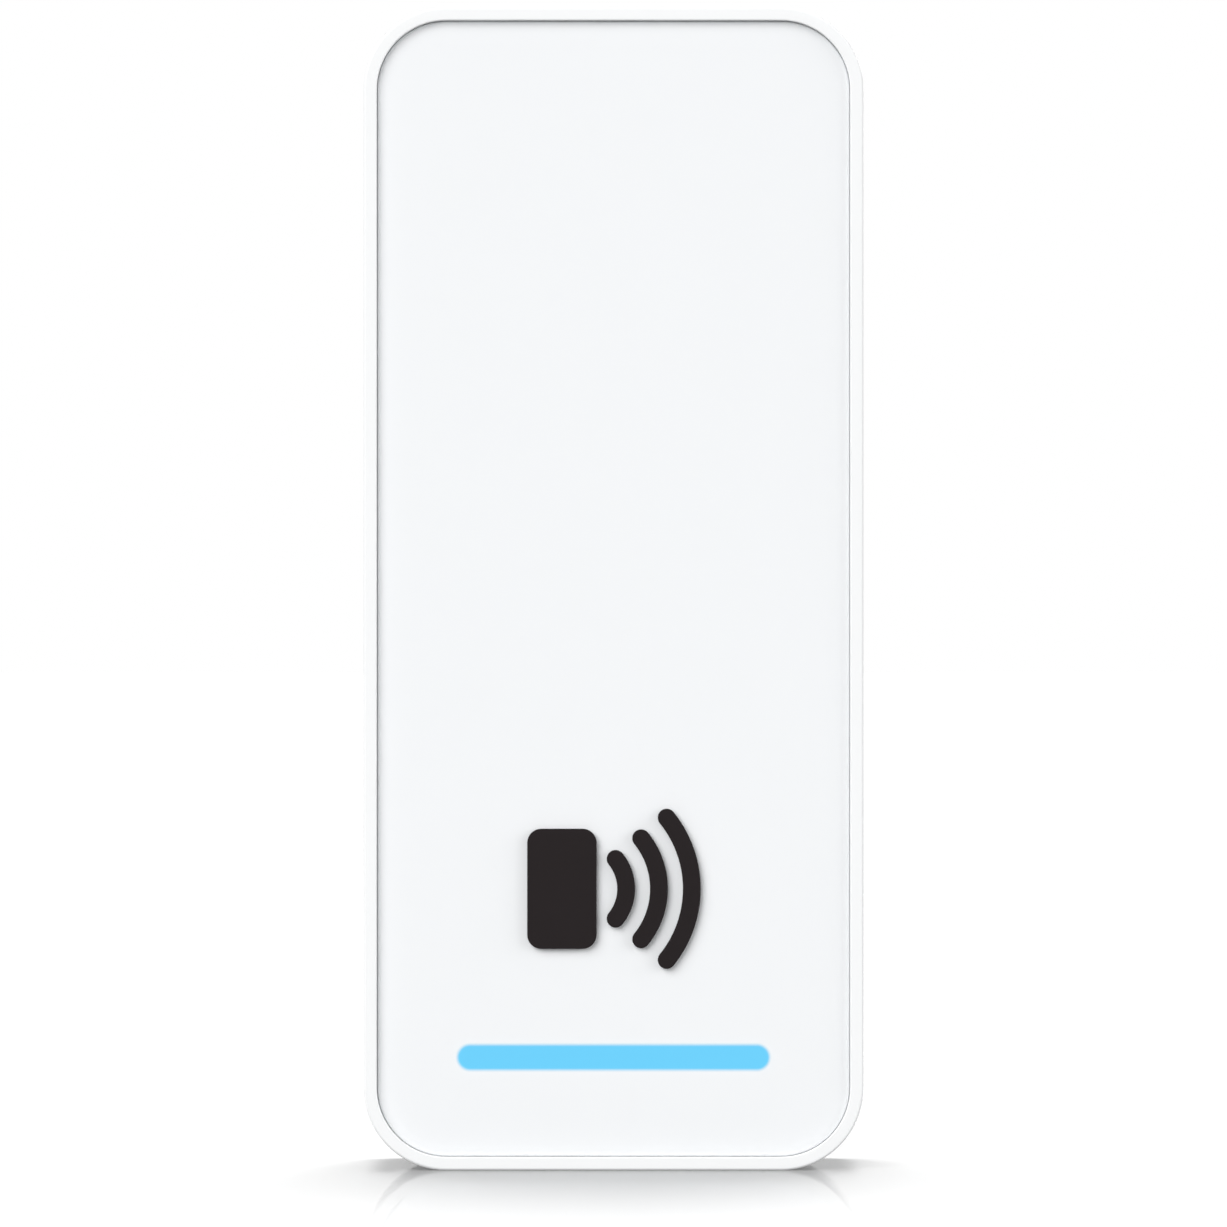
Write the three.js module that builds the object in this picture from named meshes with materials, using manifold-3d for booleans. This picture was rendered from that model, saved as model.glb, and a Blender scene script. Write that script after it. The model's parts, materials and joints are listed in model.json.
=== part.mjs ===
// A wall-mounted door reader for access cards and phones: a slim white housing with a recessed front
// panel, a tap mark and a light bar, and behind them the antenna, the boards, a network jack in a
// cable bay, a rear cover and the wall plate that the reader hooks onto and is locked to.
// Millimetres. X points right as seen from the front, -Y to the front, +Z up. The origin lies at the
// middle of the underside, halfway between the rim at the front and the wall plate at the back.
import * as THREE from "three";
import { mergeVertices } from "three/addons/utils/BufferGeometryUtils.js";
import Module from "manifold-3d";

const wasm = await Module();
wasm.setup();

// ---- Driving dimensions -------------------------------------------------------------------------
const WIDTH = 53.3;
const HEIGHT = 124;
const DEPTH = 17.6; // from the rim to the back of the wall plate
const CORNER_R = 8.8;
const RIM = 1.3; // width of the raised rim round the front panel
const EDGE_R = 0.5; // rounding of the housing's front and rear edges
const STAND_OFF = 0.5; // the skirt stops this far from the wall
const WALL = 1.7; // skirt wall round the rear recess
const LEDGE = 1.1; // the step that the rear gasket lies on
const GAP = 0.05; // air between stacked flat pieces

const FRONT = -DEPTH / 2;
const BACK = DEPTH / 2;
const SKIRT_END = BACK - STAND_OFF;

// Depths of the layers, front to back
const PANEL_RECESS = 0.7;
const PANEL_THICK = 1;
const PANEL_FRONT = FRONT + PANEL_RECESS;
const PANEL_BACK = PANEL_FRONT + PANEL_THICK;
const FLOOR_FRONT = PANEL_BACK + 0.3; // leaves room for the adhesive
const FLOOR_THICK = 1.4;
const FLOOR_BACK = FLOOR_FRONT + FLOOR_THICK;
const ANTENNA_Y = FLOOR_BACK + 0.1;
const ANTENNA_THICK = 0.8;
const BOARD_THICK = 1.6;
const BOARD_FRONT = -BOARD_THICK / 2;
const BOARD_BACK = BOARD_THICK / 2;
const LEDGE_Y = 2;
const COVER_FRONT = LEDGE_Y + 0.8;
const COVER_THICK = 1.6;
const COVER_BACK = COVER_FRONT + COVER_THICK;
const PLATE_THICK = 2;
const PLATE_FRONT = BACK - PLATE_THICK;

// Tap mark on the panel
const MARK_SIZE = 18.4;
const MARK_Z = 30;
const MARK_THICK = 0.6;
const CARD_W = 7.4;
const CARD_H = 12.8;
const CARD_R = 1.5;
const WAVE_STROKE = 1.9;
const WAVE_PITCH = 3.5;
const WAVE_COUNT = 3;
const WAVE_HALF_ANGLE = 0.68;

// Light bar behind the panel
const BAR_W = 33.3;
const BAR_H = 2.7;
const BAR_Z = 12;
const GUIDE_MARGIN = 0.5; // the guide and the diffuser are this much wider and taller than the lit bar
const DIFFUSER_MARGIN = [2.9, 2.7];
const LIGHT_AIR = 0.4; // and their openings in the housing this much more
const DIFFUSER_BED = 0.6;
const LED_COUNT = 6;
const LED_PITCH = 5.6;
const LED_BOARD_Y = -2.2;
const LED_BOARD_THICK = 1;

// Screws
const COVER_SCREW_X = 20.9;
const COVER_SCREW_Z = 5.8; // from the bottom, and from the top
const BOARD_SCREW_X = 18.5;
const BOARD_SCREW_Z = [23.5, 110.5];
const PILOT_R = 1.05;
const BOSS_R = 2.4;
const POST_R = 1.9;
const BOARD_SCREW = { headR: 1.7, headH: 1, shankR: 0.85, length: 4.2 };
const COVER_SCREW = { headR: 1.9, headH: 1.2, shankR: 0.85, length: 6.4 };

// Sound holes in the underside
const SOUND_HOLE_X = [-16, -14, -12, -10];
const SOUND_HOLE_Y = -1.6;
const SOUND_HOLE_R = 0.55;

// Cable bay and jack
const BAY_HALF = 9.2;
const BAY_WALL = 1.1;
const BAY_BOTTOM = 18.4;
const BAY_TOP = 43.9;
const BAY_FLOOR = -4.2; // the bay's inner face, towards the front
const JACK_HALF = 7.95;
const JACK_BOTTOM = 45.1;
const JACK_TOP = 61;
const JACK_FRONT = -4.2;
const JACK_BACK = 6;
const SOCKET_HALF = 5.95;
const SOCKET_FRONT = -2.2;
const SOCKET_BACK = 4.8;
const SOCKET_DEPTH = 12;
const HUMP_HALF = 10.4;
const HUMP_TOP = 76;
const HUMP_BACK = 7.4;
const HUMP_WALL = 1;

// Locking: the screw stands under the plate's lug, and the plate hangs the reader on four hooks
const RELEASE = 2.5; // how far the screw backs out, and the plate slides down
const LOCK_Y = 3.4;
const LOCK_HEAD_R = 2.4;
const LOCK_HEAD_Z = 2.9;
const LOCK_HEAD_H = 1.4;
const LOCK_SHANK_R = 1.45;
const LOCK_TIP_Z = 9.4;
const COUNTERBORE_R = 2.6;
const COUNTERBORE_TOP = 4.9;
const INSERT_R = 2.1;
const INSERT_TOP = 6.6;
const LUG_BOTTOM = 9.5;
const LUG_THICK = 1.6;
const LUG_HALF = 4;
const LUG_FRONT = 1.6;
const POCKET_HALF = 5.4;
const POCKET_BOTTOM = 6.7;
const POCKET_TOP = 12.4;
const POCKET_FRONT = 0.4;
const POCKET_WALL = 1.2;
const BLOCK_BACK = 6.6;
const BLOCK_FRONT = -0.8;
const BLOCK_HALF = POCKET_HALF + POCKET_WALL;
const BLOCK_TOP = POCKET_TOP + POCKET_WALL;
const NOTCH_AIR = 0.4; // between the block and the notch in the cover and gasket

// Wall plate
const PLATE_HALF = 24.3;
const PLATE_BOTTOM = 4.8;
const PLATE_TOP = 121.7;
const PLATE_R = 6.5;
const OPENING_HALF = 11.5;
const OPENING_BOTTOM = 20;
const OPENING_TOP = 80;
const WALL_SCREW_Z = 15.2;
const WALL_SCREW_SPACING = 83.3; // a single-gang wall box
const WALL_SCREW_R = 2;
const WALL_SCREW_HEAD_R = 3.6;
const HOOK_X = 17;
const HOOK_Z = [28, 98];
const HOOK_NECK = [2.2, 2.6];
const HOOK_HEAD = [4.6, 4.4];
const HOOK_HEAD_Y = 7.9;
const HOOK_END = 8.6;
const HOOK_AIR = 0.3;

// Tamper plunger and reset button, on the rear of the main board
const TAMPER_X = -15;
const SWITCH_Z = 86;
const TAMPER_R = 0.8;
const TAMPER_TRAVEL = 1.2;
const RESET_X = 15;
const RESET_R = 1.6;

// Pressure vent in the rear cover
const VENT_X = 16.5;
const VENT_Z = 55;
const VENT_R = 3;
const VENT_HOLE_R = 1.2;

const ROUND = 20; // sides of a visible round
const SMALL_ROUND = 12;
const ARC_STEPS = 4;

// ---- Shape helpers ------------------------------------------------------------------------------
function toSolid(geometry) {
  const bare = geometry.index ? geometry.toNonIndexed() : geometry.clone();
  bare.deleteAttribute("normal");
  bare.deleteAttribute("uv");
  const merged = mergeVertices(bare, 1e-4);
  const corners = merged.index.array;
  const kept = [];
  for (let i = 0; i < corners.length; i += 3) {
    const [a, b, c] = [corners[i], corners[i + 1], corners[i + 2]];
    if (a !== b && b !== c && c !== a) kept.push(a, b, c);
  }
  const vertProperties = merged.attributes.position.array;
  return new wasm.Manifold(new wasm.Mesh({ numProp: 3, vertProperties, triVerts: new Uint32Array(kept) }));
}

function toGeometry(solid) {
  const mesh = solid.getMesh();
  const geometry = new THREE.BufferGeometry();
  geometry.setAttribute("position", new THREE.BufferAttribute(new Float32Array(mesh.vertProperties), 3));
  geometry.setIndex(new THREE.BufferAttribute(new Uint32Array(mesh.triVerts), 1));
  geometry.computeVertexNormals();
  return geometry;
}

const joined = (solids) => solids.reduce((whole, part) => whole.add(part));
const cut = (whole, tools) => whole.subtract(joined(tools));

// A rounded rectangle in the XZ plane
function roundedRect(x, z, width, height, radius) {
  const shape = new THREE.Shape();
  const dx = width / 2 - radius;
  const dz = height / 2 - radius;
  shape.absarc(x + dx, z - dz, radius, -Math.PI / 2, 0);
  shape.absarc(x + dx, z + dz, radius, 0, Math.PI / 2);
  shape.absarc(x - dx, z + dz, radius, Math.PI / 2, Math.PI);
  shape.absarc(x - dx, z - dz, radius, Math.PI, Math.PI * 1.5);
  return shape;
}

// The housing's outline, drawn in by an inset all round
function outline(inset) {
  return roundedRect(0, HEIGHT / 2, WIDTH - 2 * inset, HEIGHT - 2 * inset, CORNER_R - inset);
}

const capsule = (z, width, height) => roundedRect(0, z, width, height, height / 2 - 1e-3);

// A shape in the XZ plane, extruded from y0 to y1, with its ends rounded by edge
function prism(shape, y0, y1, edge = 0) {
  const geometry = new THREE.ExtrudeGeometry(shape, {
    depth: y1 - y0 - 2 * edge,
    curveSegments: ARC_STEPS,
    bevelEnabled: edge > 0,
    bevelThickness: edge,
    bevelSize: edge,
    bevelOffset: -edge,
    bevelSegments: 2,
  });
  geometry.rotateX(Math.PI / 2);
  geometry.translate(0, y1 - edge, 0);
  return toSolid(geometry);
}

// A closed outline of [y, z] points, extruded along X from x0 to x1
function sideways(points, x0, x1) {
  const shape = new THREE.Shape(points.map(([y, z]) => new THREE.Vector2(-z, y)));
  const geometry = new THREE.ExtrudeGeometry(shape, { depth: x1 - x0, bevelEnabled: false });
  geometry.rotateY(Math.PI / 2);
  geometry.translate(x0, 0, 0);
  return toSolid(geometry);
}

function block([x0, x1], [y0, y1], [z0, z1]) {
  const geometry = new THREE.BoxGeometry(x1 - x0, y1 - y0, z1 - z0);
  geometry.translate((x0 + x1) / 2, (y0 + y1) / 2, (z0 + z1) / 2);
  return toSolid(geometry);
}

const about = (middle, half) => [middle - half, middle + half];

// A round bar along Y, from y0 (radius r0) to y1 (radius r1)
function rodY(x, z, r0, y0, y1, sides = SMALL_ROUND, r1 = r0) {
  const geometry = new THREE.CylinderGeometry(r1, r0, y1 - y0, sides);
  geometry.translate(x, (y0 + y1) / 2, z);
  return toSolid(geometry);
}

// A round bar along Z, at depth y
function rodZ(x, y, radius, z0, z1, sides = ROUND) {
  const geometry = new THREE.CylinderGeometry(radius, radius, z1 - z0, sides);
  geometry.rotateX(Math.PI / 2);
  geometry.translate(x, y, (z0 + z1) / 2);
  return toSolid(geometry);
}

// A solid of revolution about Y, from [radius, y] points that start and end on the axis
function turned(points, sides) {
  return toSolid(new THREE.LatheGeometry(points.map(([r, y]) => new THREE.Vector2(r, y)), sides));
}

// ---- Materials ----------------------------------------------------------------------------------
function finish(color, roughness, metalness = 0) {
  return new THREE.MeshStandardMaterial({ color, roughness, metalness });
}

const WHITE_PLASTIC = finish(0xf8f9fa, 0.45);
const PANEL_WHITE = finish(0xf6f8fa, 0.35);
const MARK_BLACK = finish(0x2a2526, 0.5);
const LIGHT_BLUE = finish(0x72d3fd, 0.4);
const GREY_PLASTIC = finish(0x55585c, 0.55);
const BOARD_GREEN = finish(0x1d5a3a, 0.5);
const COPPER = finish(0xb87333, 0.35, 1);
const FERRITE = finish(0x3a3a3c, 0.8);
const CHIP_BLACK = finish(0x17181a, 0.5);
const TIN = finish(0xb9bcc0, 0.35, 1);
const STEEL = finish(0x9a9da1, 0.35, 1);
const BRASS = finish(0xb9963f, 0.35, 1);
const RUBBER = finish(0x202224, 0.8);
const ADHESIVE = finish(0xd8d6cc, 0.7);

const reader = new THREE.Group();

function addPiece(name, solid, material, [x, y, z] = [0, 0, 0]) {
  const mesh = new THREE.Mesh(toGeometry(solid), material);
  mesh.name = name;
  mesh.position.set(x, y, z);
  reader.add(mesh);
}

// ---- Housing ------------------------------------------------------------------------------------
const coverScrewPlaces = [COVER_SCREW_Z, HEIGHT - COVER_SCREW_Z].flatMap((z) => [
  [-COVER_SCREW_X, z],
  [COVER_SCREW_X, z],
]);
const boardScrewPlaces = BOARD_SCREW_Z.flatMap((z) => [
  [-BOARD_SCREW_X, z],
  [BOARD_SCREW_X, z],
]);

// The corner bosses for the cover's screws and the posts for the main board's
function housingPosts() {
  const bosses = coverScrewPlaces.map(([x, z]) => rodY(x, z, BOSS_R, FLOOR_BACK - 0.2, LEDGE_Y));
  const posts = boardScrewPlaces.map(([x, z]) => rodY(x, z, POST_R, FLOOR_BACK - 0.2, BOARD_FRONT - GAP));
  return [...bosses, ...posts];
}

function housingPilotHoles() {
  return [
    ...coverScrewPlaces.map(([x, z]) => rodY(x, z, PILOT_R, -3, LEDGE_Y + 1)),
    ...boardScrewPlaces.map(([x, z]) => rodY(x, z, PILOT_R, FLOOR_BACK + 0.6, 1)),
  ];
}

// The block at the bottom that holds the locking screw and takes the plate's lug
function lockBlock() {
  const step = LEDGE + NOTCH_AIR;
  const foot = block(about(0, BLOCK_HALF + step), [BLOCK_FRONT, LEDGE_Y], [1, BLOCK_TOP + step]);
  const tower = block(about(0, BLOCK_HALF), [BLOCK_FRONT, BLOCK_BACK], [1, BLOCK_TOP]);
  return foot.add(tower);
}

function lockBlockHollows() {
  return [
    block(about(0, POCKET_HALF), [POCKET_FRONT, BACK + 1], [POCKET_BOTTOM, POCKET_TOP]),
    rodZ(0, LOCK_Y, COUNTERBORE_R, -1, COUNTERBORE_TOP),
    rodZ(0, LOCK_Y, INSERT_R + 0.1, COUNTERBORE_TOP - 1, POCKET_BOTTOM + 0.2),
  ];
}

// Sound holes through the underside, below the speaker
function soundHoles() {
  return SOUND_HOLE_X.map((x) => rodZ(x, SOUND_HOLE_Y, SOUND_HOLE_R, -1, 4, SMALL_ROUND));
}

// The bed that the diffuser lies in, and the window that the light guide stands in
function lightOpenings() {
  const [marginX, marginZ] = DIFFUSER_MARGIN;
  const bed = capsule(BAR_Z, BAR_W + marginX + LIGHT_AIR, BAR_H + marginZ + LIGHT_AIR);
  const window = capsule(BAR_Z, BAR_W + GUIDE_MARGIN + LIGHT_AIR, BAR_H + GUIDE_MARGIN + LIGHT_AIR);
  return [
    prism(bed, FLOOR_FRONT - 1, FLOOR_FRONT + DIFFUSER_BED),
    prism(window, FLOOR_FRONT, FLOOR_BACK + 1),
  ];
}

function makeHousing() {
  const tub = cut(prism(outline(0), FRONT, SKIRT_END, EDGE_R), [
    prism(outline(RIM), FRONT - 1, FLOOR_FRONT),
    prism(outline(WALL + LEDGE), FLOOR_BACK, LEDGE_Y),
    prism(outline(WALL), LEDGE_Y, BACK + 1),
  ]);
  return cut(joined([tub, ...housingPosts(), lockBlock()]), [
    ...lightOpenings(),
    ...housingPilotHoles(),
    ...lockBlockHollows(),
    ...soundHoles(),
  ]);
}

addPiece("housing", makeHousing(), WHITE_PLASTIC);

// ---- Front panel and tap mark -------------------------------------------------------------------
function waveOutline(radius) {
  const shape = new THREE.Shape();
  const centre = -MARK_SIZE / 2 + CARD_W - WAVE_PITCH * 0.55;
  const half = WAVE_STROKE / 2;
  const angle = WAVE_HALF_ANGLE;
  const endX = centre + radius * Math.cos(angle);
  const endZ = radius * Math.sin(angle);
  shape.absarc(centre, MARK_Z, radius + half, -angle, angle);
  shape.absarc(endX, MARK_Z + endZ, half, angle, angle + Math.PI);
  shape.absarc(centre, MARK_Z, radius - half, angle, -angle, true);
  shape.absarc(endX, MARK_Z - endZ, half, Math.PI - angle, 2 * Math.PI - angle);
  return shape;
}

function addFrontPanel() {
  const markBack = PANEL_FRONT - GAP;
  const card = roundedRect((CARD_W - MARK_SIZE) / 2, MARK_Z, CARD_W, CARD_H, CARD_R);
  const ring = prism(outline(RIM + 0.65), PANEL_BACK + GAP, FLOOR_FRONT - GAP);
  const middle = prism(outline(RIM + 3.65), PANEL_BACK - 1, FLOOR_FRONT + 1);
  addPiece("front_panel", prism(outline(RIM + 0.15), PANEL_FRONT, PANEL_BACK), PANEL_WHITE);
  addPiece("panel_adhesive", ring.subtract(middle), ADHESIVE);
  addPiece("tap_mark_card", prism(card, markBack - MARK_THICK, markBack), MARK_BLACK);
  for (let i = 1; i <= WAVE_COUNT; i++) {
    const wave = waveOutline(WAVE_PITCH * (i + 0.45));
    addPiece(`tap_mark_wave_${i}`, prism(wave, markBack - MARK_THICK, markBack), MARK_BLACK);
  }
}

addFrontPanel();

// ---- Light bar ----------------------------------------------------------------------------------
function addLightBar() {
  const boxHalf = BAR_W / 2 + 1.9;
  const boxHeight = BAR_H / 2 + 2.2;
  const diffuserFront = PANEL_BACK + GAP;
  const diffuserBack = FLOOR_FRONT + DIFFUSER_BED - GAP;
  const [marginX, marginZ] = DIFFUSER_MARGIN;
  const boxBack = LED_BOARD_Y - GAP;
  const reflector = block(about(0, boxHalf), [FLOOR_BACK + GAP, boxBack], about(BAR_Z, boxHeight));
  const channel = block(about(0, boxHalf - 1.2), [FLOOR_BACK - 1, boxBack + 1], about(BAR_Z, boxHeight - 1.2));
  const led = block(about(0, 1.5), [-0.65, 0], about(0, 0.7));
  const ledBoardBack = LED_BOARD_Y + LED_BOARD_THICK;
  const diffuser = prism(capsule(BAR_Z, BAR_W + marginX, BAR_H + marginZ), diffuserFront, diffuserBack);
  const guideShape = capsule(BAR_Z, BAR_W + GUIDE_MARGIN, BAR_H + GUIDE_MARGIN);
  const guide = prism(guideShape, diffuserBack + GAP, FLOOR_BACK + 1.4);
  addPiece("light_diffuser", diffuser, LIGHT_BLUE);
  addPiece("light_guide", guide, LIGHT_BLUE);
  addPiece("light_box", reflector.subtract(channel), WHITE_PLASTIC);
  for (let i = 1; i <= LED_COUNT; i++) {
    const x = (i - (LED_COUNT + 1) / 2) * LED_PITCH;
    addPiece(`led_${i}`, led, LIGHT_BLUE, [x, LED_BOARD_Y - GAP, BAR_Z]);
  }
  const ledBoard = block(about(0, boxHalf), [LED_BOARD_Y, ledBoardBack], about(BAR_Z, 4));
  addPiece("led_board", ledBoard, BOARD_GREEN);
  addPiece("led_flex", block([11.2, 14.8], [ledBoardBack + GAP, ledBoardBack + 0.2], [11, 23.5]), COPPER);
}

addLightBar();

// ---- Antenna ------------------------------------------------------------------------------------
const ANTENNA_BACK = ANTENNA_Y + ANTENNA_THICK;
const COIL_HALF = 15.4;
const COIL_Z = [72, 114];
const COIL_TURNS = 4;
const COIL_PITCH = 1.6;
const COIL_TRACK = 0.4; // half the width of the copper

// A flat rectangular spiral of copper: each turn starts one pitch inside the last
function antennaCoil() {
  const corners = [];
  for (let turn = 0; turn < COIL_TURNS; turn++) {
    const inset = turn * COIL_PITCH;
    const start = Math.max(turn - 1, 0) * COIL_PITCH;
    corners.push([-COIL_HALF + start, COIL_Z[0] + inset]);
    corners.push([COIL_HALF - inset, COIL_Z[0] + inset]);
    corners.push([COIL_HALF - inset, COIL_Z[1] - inset]);
    corners.push([-COIL_HALF + inset, COIL_Z[1] - inset]);
  }
  const depth = [ANTENNA_BACK + GAP, ANTENNA_BACK + 0.15];
  const tracks = corners.slice(1).map(([x, z], i) => {
    const [fromX, fromZ] = corners[i];
    const xs = [Math.min(x, fromX) - COIL_TRACK, Math.max(x, fromX) + COIL_TRACK];
    const zs = [Math.min(z, fromZ) - COIL_TRACK, Math.max(z, fromZ) + COIL_TRACK];
    return block(xs, depth, zs);
  });
  return joined(tracks);
}

function addAntenna() {
  const clearance = boardScrewPlaces.slice(2).map(([x, z]) => rodY(x, z, 2.2, FLOOR_BACK - 1, 0));
  const board = prism(roundedRect(0, 90.5, 43, 49, 2), ANTENNA_Y, ANTENNA_BACK);
  const sheetFront = ANTENNA_BACK + 0.2;
  const connectorSpan = [ANTENNA_BACK + GAP, BOARD_FRONT - GAP];
  addPiece("antenna_board", cut(board, clearance), BOARD_GREEN);
  addPiece("antenna_coil", antennaCoil(), COPPER);
  addPiece("ferrite_sheet", block(about(0, 15.9), [sheetFront, sheetFront + 0.3], [71.5, 114.5]), FERRITE);
  addPiece("antenna_connector", block(about(0, 4), connectorSpan, [67, 70.5]), GREY_PLASTIC);
}

addAntenna();

// ---- Main board and what it carries -------------------------------------------------------------
const BOARD_HALF = 23.2;
const BOARD_BOTTOM = 18;
const BOARD_TOP = 115;
const BOARD_NOTCH_TOP = JACK_TOP + 1.6;

function mainBoard() {
  const middle = (BOARD_BOTTOM + BOARD_TOP) / 2;
  const shape = roundedRect(0, middle, 2 * BOARD_HALF, BOARD_TOP - BOARD_BOTTOM, 2);
  const board = prism(shape, BOARD_FRONT, BOARD_BACK);
  const notch = block(about(0, BAY_HALF + BAY_WALL + 0.5), [-5, 5], [0, BOARD_NOTCH_TOP]);
  return cut(board, [notch, ...boardScrewPlaces.map(([x, z]) => rodY(x, z, 1.1, -5, 5))]);
}

// A part that stands on the rear face of the main board
function addOnBoard(name, x, z, width, height, thick, material) {
  const base = BOARD_BACK + GAP;
  addPiece(name, block(about(x, width / 2), [base, base + thick], about(z, height / 2)), material);
}

// A drawn metal can over the radio parts, open to the board
function radioShield() {
  const back = BOARD_FRONT - GAP;
  const front = back - 2.2;
  const sheet = 0.3;
  const can = block(about(-12.5, 7.5), [front, back], about(88, 12));
  return can.subtract(block(about(-12.5, 7.5 - sheet), [front + sheet, back + 1], about(88, 12 - sheet)));
}

function addMainBoard() {
  addPiece("main_board", mainBoard(), BOARD_GREEN);
  addPiece("radio_shield", radioShield(), TIN);
  addOnBoard("main_processor", 0, 102, 12, 12, 1.1, CHIP_BLACK);
  addOnBoard("reader_chip", 11, 102, 5, 5, 0.9, CHIP_BLACK);
  addOnBoard("power_inductor", -17, 70, 6, 6, 1.7, FERRITE);
  addOnBoard("poe_transformer", -4.5, 69.8, 8.4, 8, 5.1, CHIP_BLACK);
  addOnBoard("bluetooth_antenna", 15, 112.5, 3, 2, 0.9, WHITE_PLASTIC);
  addPiece("bulk_capacitor", rodZ(4.8, BOARD_BACK + 2.5, 2.4, 65.8, 73.8), TIN);
}

addMainBoard();

// ---- Network jack, opening downwards into the cable bay -----------------------------------------
function jackBody() {
  const body = block(about(0, JACK_HALF), [JACK_FRONT, JACK_BACK], [JACK_BOTTOM, JACK_TOP]);
  return cut(body, [
    block(about(0, SOCKET_HALF), [SOCKET_FRONT, SOCKET_BACK], [JACK_BOTTOM - 1, JACK_BOTTOM + SOCKET_DEPTH]),
    block(about(0, 3.2), [SOCKET_BACK - 1, JACK_BACK - 0.5], [JACK_BOTTOM - 1, JACK_BOTTOM + SOCKET_DEPTH]),
    block(about(0, 4.7), [SOCKET_FRONT + 0.2, -0.6], [JACK_BOTTOM, JACK_TOP + 1]),
  ]);
}

// Eight sprung wires on one carrier, which runs out behind the jack and onto the board
function jackContacts() {
  const carrierEnd = BOARD_NOTCH_TOP - 0.2;
  const parts = [
    block(about(0, 4.4), [-1.8, -0.9], [JACK_BOTTOM + SOCKET_DEPTH + 0.3, carrierEnd]),
    block(about(0, 4.4), [-1.8, BOARD_BACK + 0.6], [JACK_TOP + 0.2, carrierEnd]),
    block(about(0, 4.4), [BOARD_BACK + GAP, BOARD_BACK + 0.6], [JACK_TOP + 0.2, carrierEnd + 1.6]),
  ];
  for (let i = 0; i < 8; i++) {
    const wireSpan = [JACK_BOTTOM + 4, JACK_BOTTOM + SOCKET_DEPTH + 1];
    parts.push(block(about((i - 3.5) * 1.02, 0.25), [-1.7, -1.2], wireSpan));
  }
  return joined(parts);
}

addPiece("rj45_jack", jackBody(), GREY_PLASTIC);
addPiece("jack_contacts", jackContacts(), BRASS);

// ---- Speaker, on the inside of the underside ----------------------------------------------------
const SPEAKER_X = [-17.4, -8.9];
const SPEAKER_Y = [-4.6, 1.4];
const INNER_BOTTOM = WALL + LEDGE;

function addSpeaker() {
  const membraneSpan = [INNER_BOTTOM + GAP, INNER_BOTTOM + 0.2];
  const speakerSpan = [INNER_BOTTOM + 0.25, INNER_BOTTOM + 3.2];
  addPiece("speaker_membrane", block(SPEAKER_X, SPEAKER_Y, membraneSpan), RUBBER);
  addPiece("speaker", block(SPEAKER_X, SPEAKER_Y, speakerSpan), CHIP_BLACK);
}

addSpeaker();

// ---- Tamper switch and reset button -------------------------------------------------------------
const SWITCH_BASE = BOARD_BACK + GAP;
const TAMPER_TIP = PLATE_FRONT - 0.1;

function tamperPlunger() {
  const root = 1.25;
  const tip = 0.3; // the bevel at its end
  const side = [[TAMPER_R, root], [TAMPER_R, TAMPER_TIP - tip], [TAMPER_R - tip, TAMPER_TIP]];
  return turned([[0, root], ...side, [0, TAMPER_TIP]], SMALL_ROUND);
}

function resetButton() {
  const stem = [[0, 2.1], [1, 2.1], [1, 2.85]];
  const cap = [[RESET_R, 2.85], [RESET_R, 4.7], [RESET_R - 0.3, 5], [0, 5]];
  return turned([...stem, ...cap], ROUND);
}

function addSwitches() {
  const tamperHole = rodY(TAMPER_X, SWITCH_Z, TAMPER_R + 0.3, SWITCH_BASE + 0.2, 5);
  const tamperBody = block(about(TAMPER_X, 2), [SWITCH_BASE, 2.6], about(SWITCH_Z, 2));
  const resetHole = rodY(RESET_X, SWITCH_Z, 1.35, SWITCH_BASE + 0.5, 5);
  const resetBody = block(about(RESET_X, 3), [SWITCH_BASE, 2.35], about(SWITCH_Z, 3));
  addPiece("tamper_switch", tamperBody.subtract(tamperHole), CHIP_BLACK);
  addPiece("tamper_plunger", tamperPlunger(), GREY_PLASTIC, [TAMPER_X, 0, SWITCH_Z]);
  addPiece("reset_switch", resetBody.subtract(resetHole), TIN);
  addPiece("reset_button", resetButton(), GREY_PLASTIC, [RESET_X, 0, SWITCH_Z]);
}

addSwitches();

// ---- Rear cover, its gasket and vent ------------------------------------------------------------
const coverNotch = (grow) =>
  block(about(0, BLOCK_HALF + NOTCH_AIR + grow), [-20, 20], [-5, BLOCK_TOP + NOTCH_AIR + grow]);

function rearGasket() {
  const outer = prism(outline(WALL + 0.2), LEDGE_Y + GAP, COVER_FRONT - GAP).subtract(coverNotch(0));
  const inner = prism(outline(WALL + LEDGE - 0.1), LEDGE_Y - 1, COVER_FRONT + 1).subtract(coverNotch(0.8));
  return outer.subtract(inner);
}

// A hook with a neck and a wider head, for the plate's keyhole slots
function hook(x, z) {
  const neck = block(about(x, HOOK_NECK[0] / 2), [COVER_BACK - 0.5, HOOK_END], about(z, HOOK_NECK[1] / 2));
  return neck.add(block(about(x, HOOK_HEAD[0] / 2), [HOOK_HEAD_Y, HOOK_END], about(z, HOOK_HEAD[1] / 2)));
}

const hookPlaces = HOOK_Z.flatMap((z) => [
  [-HOOK_X, z],
  [HOOK_X, z],
]);

// The walled well that the network cable bends up in, and the hump over the jack and transformer
function coverBody() {
  const bayHalf = BAY_HALF + BAY_WALL;
  return joined([
    prism(outline(WALL + 0.2), COVER_FRONT, COVER_BACK),
    block(about(0, bayHalf), [BAY_FLOOR - 1, COVER_BACK], [BAY_BOTTOM - BAY_WALL, BAY_TOP + BAY_WALL]),
    block(about(0, HUMP_HALF), [COVER_FRONT, HUMP_BACK], [BAY_TOP, HUMP_TOP]),
    ...hookPlaces.map(([x, z]) => hook(x, z)),
  ]);
}

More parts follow.
